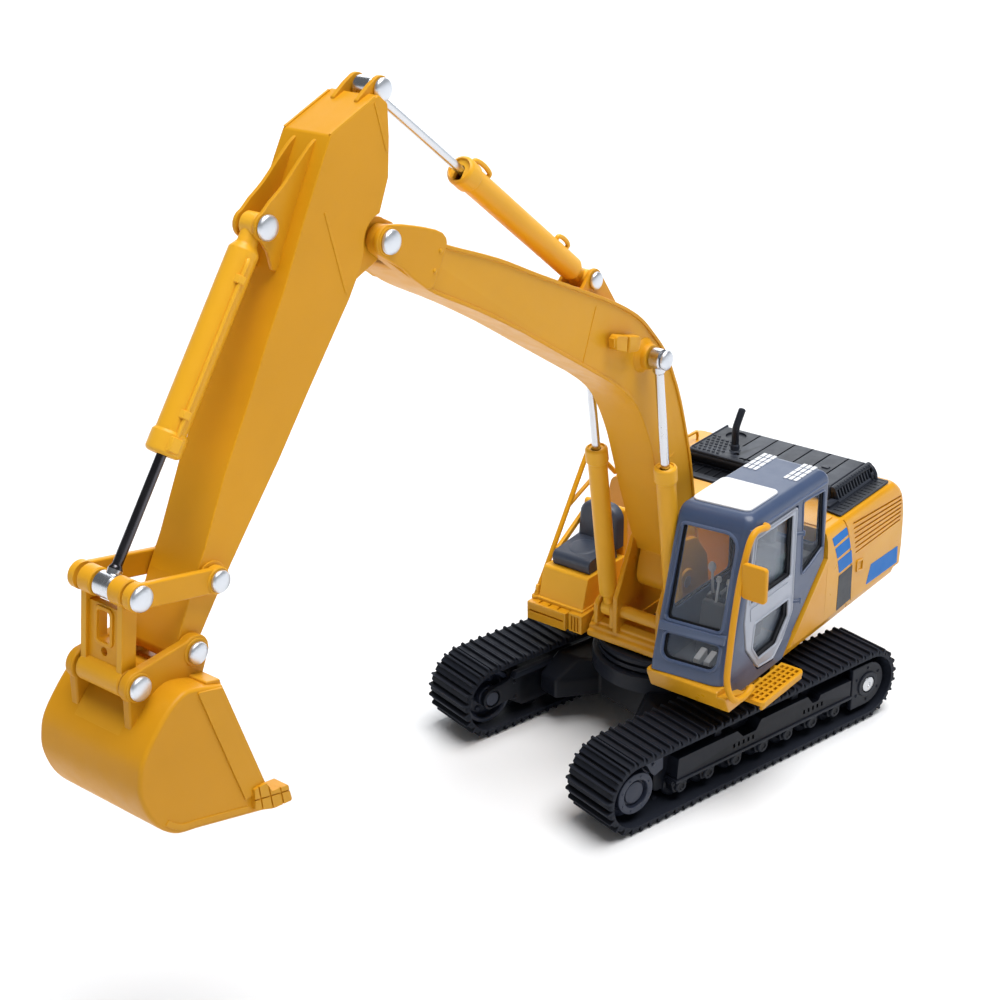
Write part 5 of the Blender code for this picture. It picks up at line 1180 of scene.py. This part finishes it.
# ------------------------------------------------------------------ arm
def arm_shape():
    notch = arc(P_NOSE, 5.4, 84, -8, 14)
    pts = [(109.3, 189.2, 0.8), (109.3, 183.0, 0), (110.0, 175.5, 0)] + [(*p, 0) for p in notch] + \
          [(119.2, 159.4, 0), (122.5, 154.6, 0), (134.6, 140.2, 0), (143.6, 129.1, 0), (152.4, 119.1, 0), (159.7, 110.7, 0), (166.9, 101.6, 0)] + \
          [(*p, 0) for p in arc(P_TIP, 3.2, 170, 370, 14)] + \
          [(167.0, 113.0, 2), (163.6, 118.6, 0), (157.3, 131, 0), (149.8, 143.1, 0), (144.3, 152.9, 0), (139.2, 161, 0), (133, 172.5, 0), (127.8, 181.5, 1.0), (124.9, 186.2, 1.2), (111.6, 191.2, 0.8)]
    body = prism(rounded(pts, 0, 4), -6.1, 6.1, bev=0.5, seg=3, ang=40)
    tongue = prism(arc(P_NOSE, 4.3, 100, 260, 14) + [(121, 156), (122, 170)], -4.0, 4.0, bev=0.25, ang=45)
    tongue = cut(tongue, cross(P_NOSE, 1.6, -20, 20))
    body = cut(body, prism([(100, 199), (100, 187.6), (112.0, 187.6), (112.0, 199)], -2.4, 2.4))
    parts = [body, tongue]
    head = arc(P_AC_ROD, 2.6, 200, 62, 12) + [(111.4, 192.6), (114.8, 190.4), (114.6, 187.4), (112, 184), (109.4, 185.0)]
    parts.append(both(prism(head, 2.45, 3.5, bev=0.25)))
    # thin ribs that run down the front to the bucket cylinder's lugs
    rib = arc(P_KC_BASE, 2.7, -60, 76, 12) + spline([(138.0, 176.4), (134.4, 178.6), (130.2, 182.0), (126.8, 184.6), (124.6, 185.6)], 3) + \
          [(126.0, 182), (128.5, 177.5), (132, 172), (137.0, 163.0), (138.8, 164.0), (139.5, 167.3)]
    parts.append(both(prism(rib, 2.1, 3.0, bev=0.22)))
    # weld seams on the side plates, and a lip along the top face
    parts.append(both(prism(rounded([(127.3, 172.6), (127.9, 172.6), (123.6, 156.1), (123.0, 156.1)], 0.1, 2), 6.05, 6.26, bev=0.08)))
    parts.append(both(prism(rounded([(112.6, 190.0), (113.1, 189.8), (110.5, 180.4), (109.9, 180.4)], 0.1, 2), 6.05, 6.26, bev=0.08)))
    parts.append(both(prism([(112.4, 190.6), (124.6, 186.0), (124.9, 186.5), (112.6, 191.15)], 5.45, 6.05, bev=0.12)))
    parts.append(both(group(lathe([(0, 6.0), (3.3, 6.0), (3.3, 6.3), (3.1, 6.42), (0, 6.42)], (P_SIDE[0], 0, P_SIDE[1]), (0, 1, 0), 28))))
    parts.append(both(group(lathe([(0, 6.0), (3.1, 6.0), (3.1, 6.3), (2.9, 6.42), (0, 6.42)], (P_TIP[0], 0, P_TIP[1]), (0, 1, 0), 28))))
    return group(*parts)


piece("arm_box", "arm", arm_shape(), yellow, ["arm"], ang=34)
piece("arm_cyl_top_pin", "arm", pin_shape(P_AC_ROD, 1.0, 3.6, 2.25, 1.35), pin_plate, ["arm_cylinder_rod_pin"])
piece("bucket_cyl_pin", "arm", pin_shape(P_KC_BASE, 1.0, 3.1, 2.4, 1.4), pin_plate, ["bucket_cylinder_base_pin"])
piece("link_low_pin", "arm", pin_shape(P_SIDE, 1.0, 8.3, 2.15, 1.25), pin_plate, ["side_link_pin"])
piece("arm_tip_pin", "arm", pin_shape(P_TIP, 1.0, 8.5, 2.15, 1.25), pin_plate, ["bucket_pin"])



def hoses(p0, p1, up, spans, r, lift, wire=0.34, y=0.0):
    """Small moulded hose loops that stand on a barrel's side."""
    d = Vector((p1[0] - p0[0], 0, p1[1] - p0[1])).normalized()
    q = Vector(up)
    q = (q - d * q.dot(d)).normalized()
    o = Vector((p0[0], y, p0[1]))
    out = []
    for t0, t1 in spans:
        m = (t0 + t1) / 2
        path = [o + d * t0 + q * (r - 0.3), o + d * t0 + q * (r + lift * 0.55), o + d * (t0 * 0.75 + t1 * 0.25) + q * (r + lift * 0.92), o + d * m + q * (r + lift),
                o + d * (t0 * 0.25 + t1 * 0.75) + q * (r + lift * 0.92), o + d * t1 + q * (r + lift * 0.55), o + d * t1 + q * (r - 0.3)]
        out.append(tube(path, wire, 12, 4))
    return out


barrel = barrel_shape(P_AC_BASE, P_AC_ROD, 54.0, 2.8, 2.45, 2.2, 2.3, 1.3, 3.25, neck=4.6, gland=(1.05, -1.48, 0.08))
loops = hoses(P_AC_BASE, P_AC_ROD, (-0.4, 0.25, 1), ((45.4, 51.4), (10.6, 15.2)), 2.8, 1.15, 0.55)
line = hoses(P_AC_BASE, P_AC_ROD, (-0.4, -0.35, 1), ((14.0, 48.0),), 2.62, 0.45, 0.36)
piece("arm_barrel_tube", "arm_barrel", group(barrel, *loops, *line), lit_yellow, ["arm_cylinder_barrel"], ang=38)
piece("arm_rod_bar", "arm_rod", piston_shape(P_AC_BASE, P_AC_ROD, 49.0, 0.95, 2.2, 2.1, 1.3), chrome, ["arm_cylinder_rod"], ang=38)

# ------------------------------------------------------------------ bucket linkage
ang = math.degrees(math.atan2(P_LINK[1] - P_SIDE[1], P_LINK[0] - P_SIDE[0]))
for side, s in (("left", 1), ("right", -1)):
    strap = arc(P_LINK, 2.5, ang - 75, ang + 75, 14) + arc(P_SIDE, 2.5, ang + 105, ang + 255, 14)
    a = prism(strap, 6.65, 8.05, bev=0.4, seg=3, ang=40)
    bosses = [lathe([(0, 6.6), (2.65, 6.6), (2.65, 8.1), (2.45, 8.3), (0, 8.3)], (p[0], 0, p[1]), (0, 1, 0), 28) for p in (P_LINK, P_SIDE)]
    bm = group(a, *bosses)
    piece("strap_" + side, "side_links", bm if s > 0 else flip(bm), yellow, ["side_link_" + side])
piece("link_high_pin", "side_links", pin_shape(P_LINK, 1.0, 8.3, 2.4, 1.4), pin_plate, ["link_top_pin"])


def hlink_shape():
    d = (Vector(P_BLINK) - Vector(P_LINK)).normalized()
    q = Vector((-d.y, d.x))
    L = (Vector(P_BLINK) - Vector(P_LINK)).length

    def to_upper(v):
        return (P_LINK[0] + d.x * v.y + q.x * v.z, v.x, P_LINK[1] + d.y * v.y + q.y * v.z)
    plate = prism(rounded([(-5.2, 3.4), (5.2, 3.4), (5.2, L), (-5.2, L)], 0.6), -0.9, 0.9, "z", bev=0.2)
    slot = prism(rounded([(-1.55, 4.6), (1.55, 4.6), (1.55, 10.4), (-1.55, 10.4)], 0.7), -5, 5, "z")
    hole = lathe([(0, -5), (0.85, -5), (0.85, 5), (0, 5)], (0, 12.4, 0), (0, 0, 1), 20)
    plate = cut(plate, slot, hole)
    rails = [prism(rounded([(4.1, 0.4), (5.65, 0.4), (5.65, L - 0.4), (4.1, L - 0.4)] if s > 0 else [(-5.65, 0.4), (-4.1, 0.4), (-4.1, L - 0.4), (-5.65, L - 0.4)], 0.2), -1.65, 1.65, "z", bev=0.35) for s in (1, -1)]
    so = rounded([(-2.5, 3.8), (2.5, 3.8), (2.5, 11.2), (-2.5, 11.2)], 1.2, 5)
    si = rounded([(-1.7, 4.5), (1.7, 4.5), (1.7, 10.5), (-1.7, 10.5)], 0.8, 5)
    frame_ = band(so, si, -1.25, 1.25, "z", bev=0.15)
    bm = move(group(plate, *rails, frame_), to_upper)
    tubes = [cross(P_LINK, 2.65, 2.4 if s > 0 else -5.75, 5.75 if s > 0 else -2.4, 32, 0.25) for s in (1, -1)]
    tubes = [cut(t, cross(P_LINK, 1.3, -20, 20)) for t in tubes]
    low = cut(cross(P_BLINK, 2.75, -5.75, 5.75, 36, 0.25), cross(P_BLINK, 1.85, -20, 20, 28))
    return group(bm, *tubes, low)


piece("h_plate", "h_link", hlink_shape(), yellow, ["h_link"])
barrel = barrel_shape(P_KC_BASE, P_LINK, 44.5, 2.9, 2.1, 2.4, 1.75, 1.3, 3.35, neck=4.6, pipe=(0.25, 1, 0.2), pipe_r=0.42, gland=(1.05, -1.03, 0.1))
piece("bucket_barrel_tube", "bucket_barrel", barrel, lit_yellow, ["bucket_cylinder_barrel"], ang=38)


def dark_piston():
    """A rod with a dark bar and a bright eye."""
    bm = piston_shape(P_KC_BASE, P_LINK, 37.0, 0.95, 2.4, 2.0, 1.3)
    for f in bm.faces:
        c = f.calc_center_median()
        f.material_index = 1 if math.hypot(c.x - P_LINK[0], c.z - P_LINK[1]) > 3.2 else 0
    return bm


piece("bucket_rod_bar", "bucket_rod", dark_piston(), [chrome, gunmetal], ["bucket_cylinder_rod"], ang=38)


# ------------------------------------------------------------------ bucket
def bucket_shape():
    curve_o = spline([(169.0, 95.4), (175.6, 97.8), (179.0, 97.9), (183.2, 95.4), (188.5, 89.8), (190.1, 85.7), (190.2, 81.4), (188.0, 75.6), (183.6, 71.0), (177.5, 69.0), (164.3, 64.9), (158.6, 63.1)], 5)
    curve_i = spline([(169.0, 93.7), (175.8, 96.1), (178.6, 96.1), (182.0, 94.0), (187.0, 88.9), (188.5, 85.4), (188.6, 81.6), (186.6, 76.5), (182.8, 72.6), (177.1, 70.7), (163.8, 66.6), (158.2, 64.7)], 5)
    side = curve_o + [(157.6, 64.6), (161.0, 69.6)]
    rings = []
    for y, d in ((-14.0, 0.75), (-13.93, 0.45), (-13.75, 0.22), (-13.45, 0.06), (-13.0, 0.0), (13.0, 0.0), (13.45, 0.06), (13.75, 0.22), (13.93, 0.45), (14.0, 0.75)):
        rings.append([(x, y, z) for x, z in (inset(side, d) if d else side)])
    shell = loft(rings)
    shell = cut(shell, prism(curve_i + [(140, 59.4), (140, 90.5)], -12.5, 12.5))
    parts = [shell]
    # raised band along the mouth's edge and along the bottom of each side plate
    strip = rounded([(169.5, 95.3), (161.2, 69.9), (166.6, 69.3), (175.4, 97.0)], 0.35, 3)
    parts.append(both(prism(strip, 13.6, 14.35, bev=0.22)))
    low_o = [p for p in inset(side, 0.95) if p[1] < 74.5 and p[0] > 165.0][:24]
    low_i = [p for p in inset(side, 2.1) if p[1] < 75.5 and p[0] > 165.4][:24]
    parts.append(both(prism(low_o + low_i[::-1], 13.7, 14.2, bev=0.1, ang=60)))
    # side cutters, scored in squares, and the row of teeth on the lip
    cutter = rounded([(164.8, 71.0), (165.0, 66.3), (160.4, 64.3), (155.4, 63.5), (156.2, 67.5), (160.4, 68.3), (161.6, 70.8)], 0.4, 3)
    block = prism(cutter, 11.2, 15.0, bev=0.3)
    block = cut(block, prism([(160.0, 62), (160.35, 62), (161.6, 71), (161.25, 71)], 14.72, 16), prism([(162.6, 62), (162.95, 62), (164.0, 72), (163.65, 72)], 14.72, 16),
                prism([(154, 65.4), (154, 65.75), (167, 69.35), (167, 69.0)], 14.72, 16), prism([(157.4, 62), (157.75, 62), (158.9, 71), (158.55, 71)], 14.72, 16))
    parts.append(both(block))
    for y in (-7.6, -2.6, 2.6, 7.6):
        tooth = rounded([(163.5, 65.0), (163.3, 67.2), (159.5, 66.5), (155.1, 63.75), (155.3, 63.3), (160.0, 63.5)], 0.2, 3)
        parts.append(prism(tooth, y - 1.5, y + 1.5, bev=0.25))
    # lugs
    ear = [(166.6, 100.2)] + arc(P_TIP, 3.3, 165, 60, 10) + arc(P_BLINK, 3.1, 95, -40, 12) + [(186.4, 91.2), (182.4, 93.2), (178.2, 96.0), (175.6, 96.0), (169.4, 94.2)]
    parts.append(both(prism(ear, 6.3, 8.25, bev=0.4, seg=3, ang=40)))
    for p in (P_TIP, P_BLINK):
        parts.append(both(group(lathe([(0, 8.0), (2.75, 8.0), (2.75, 8.3), (2.6, 8.45), (0, 8.45)], (p[0], 0, p[1]), (0, 1, 0), 28))))
    # stiffening bar along the mouth's top edge, and the plate between the lugs
    parts.append(prism(rounded([(168.4, 94.6), (171.8, 95.6), (172.4, 97.2), (168.7, 96.2)], 0.4), -12.8, 12.8, bev=0.3))
    shelf = [(174.0, 96.2), (178.6, 96.6), (183.6, 93.6), (186.9, 90.2), (187.6, 91.0), (184.4, 94.6), (179.2, 97.9), (174.0, 97.7)]
    parts.append(prism(shelf, -6.2, 6.2, bev=0.2))
    return group(*parts)


piece("bucket_shell", "bucket", bucket_shape(), shaded_bucket_yellow, ["bucket"], ang=34)
piece("bucket_ear_pin", "bucket", pin_shape(P_BLINK, 0.8, 8.5, 2.3, 1.3), pin_plate, ["bucket_link_pin"])

# ------------------------------------------------------------------ pieces kept as they are
for name, m in (("chassis_cover", black_pl), ("slew_screw", steel), ("boom_foot_pin", pin_plate), ("boom_cylinder_base_pin", pin_plate)):
    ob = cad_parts[name]
    ob.data.materials.clear()
    ob.data.materials.append(m)

# ------------------------------------------------------------------ stage, light, camera
floor_m = finish("floor", (0.80, 0.805, 0.815), 0.62, var=0.008, rough_var=0.05, cloud=3.0, grain=120, bump=0.01, spec=0.2)
fm = bpy.data.meshes.new("floor")
fm.from_pydata([(2.6 * math.cos(math.radians(3 * k)), 2.6 * math.sin(math.radians(3 * k)), -0.0002) for k in range(120)], [], [tuple(range(120))])
fm.materials.append(floor_m)
floor = bpy.data.objects.new("floor", fm)
bpy.context.scene.collection.objects.link(floor)


def area(name, at, target, size, power, colour=(1, 1, 1)):
    L = bpy.data.lights.new(name, "AREA")
    L.shape, L.size, L.energy, L.color = "DISK", size, power, colour
    ob = bpy.data.objects.new(name, L)
    bpy.context.scene.collection.objects.link(ob)
    ob.location = at
    ob.rotation_euler = (Vector(target) - Vector(at)).to_track_quat("-Z", "Y").to_euler()
    return ob


area("key", (-0.6, 1.15, 6.8), (0, 0, 0.05), 6.0, 728.0)
area("card", (-2.26, -1.83, 1.34), (0, 0, 0.08), 3.0, 44.0, (0.94, 0.97, 1.0))
world = bpy.data.worlds.new("studio")
world.use_nodes = True
world.node_tree.nodes["Background"].inputs["Color"].default_value = (0.90, 0.95, 1.0, 1.0)
# the studio wall is bright low down, round the horizon, and dim above
wt = world.node_tree
heading = wt.nodes.new("ShaderNodeTexCoord")
split = wt.nodes.new("ShaderNodeSeparateXYZ")
fade = wt.nodes.new("ShaderNodeMapRange")
for key, value in (("From Min", 0.07), ("From Max", 0.22), ("To Min", 1.1), ("To Max", 0.15)):
    fade.inputs[key].default_value = value
wt.links.new(heading.outputs["Generated"], split.inputs["Vector"])
wt.links.new(split.outputs["Z"], fade.inputs["Value"])
wt.links.new(fade.outputs["Result"], wt.nodes["Background"].inputs["Strength"])
scene = bpy.context.scene
scene.world = world
scene.view_settings.view_transform = "Standard"
scene.view_settings.look = "None"

CAM = Vector((291.03, 228.16, 258.01)) * MM
az, el, roll = math.radians(39.05), math.radians(24.72), math.radians(-1.16)
back = Vector((math.cos(az) * math.cos(el), math.sin(az) * math.cos(el), math.sin(el)))
right = Vector((-math.sin(az), math.cos(az), 0))
up = back.cross(right)
r2 = right * math.cos(roll) + up * math.sin(roll)
u2 = up * math.cos(roll) - right * math.sin(roll)
cam_data = bpy.data.cameras.new("camera")
cam_data.sensor_width = 36.0
cam_data.lens = 1752.32 / 1000.0 * 36.0
cam_data.clip_start, cam_data.clip_end = 0.01, 50.0
camera = bpy.data.objects.new("camera", cam_data)
bpy.context.scene.collection.objects.link(camera)
camera.matrix_world = Matrix(((r2.x, u2.x, back.x, CAM.x), (r2.y, u2.y, back.y, CAM.y), (r2.z, u2.z, back.z, CAM.z), (0, 0, 0, 1)))
scene.camera = camera
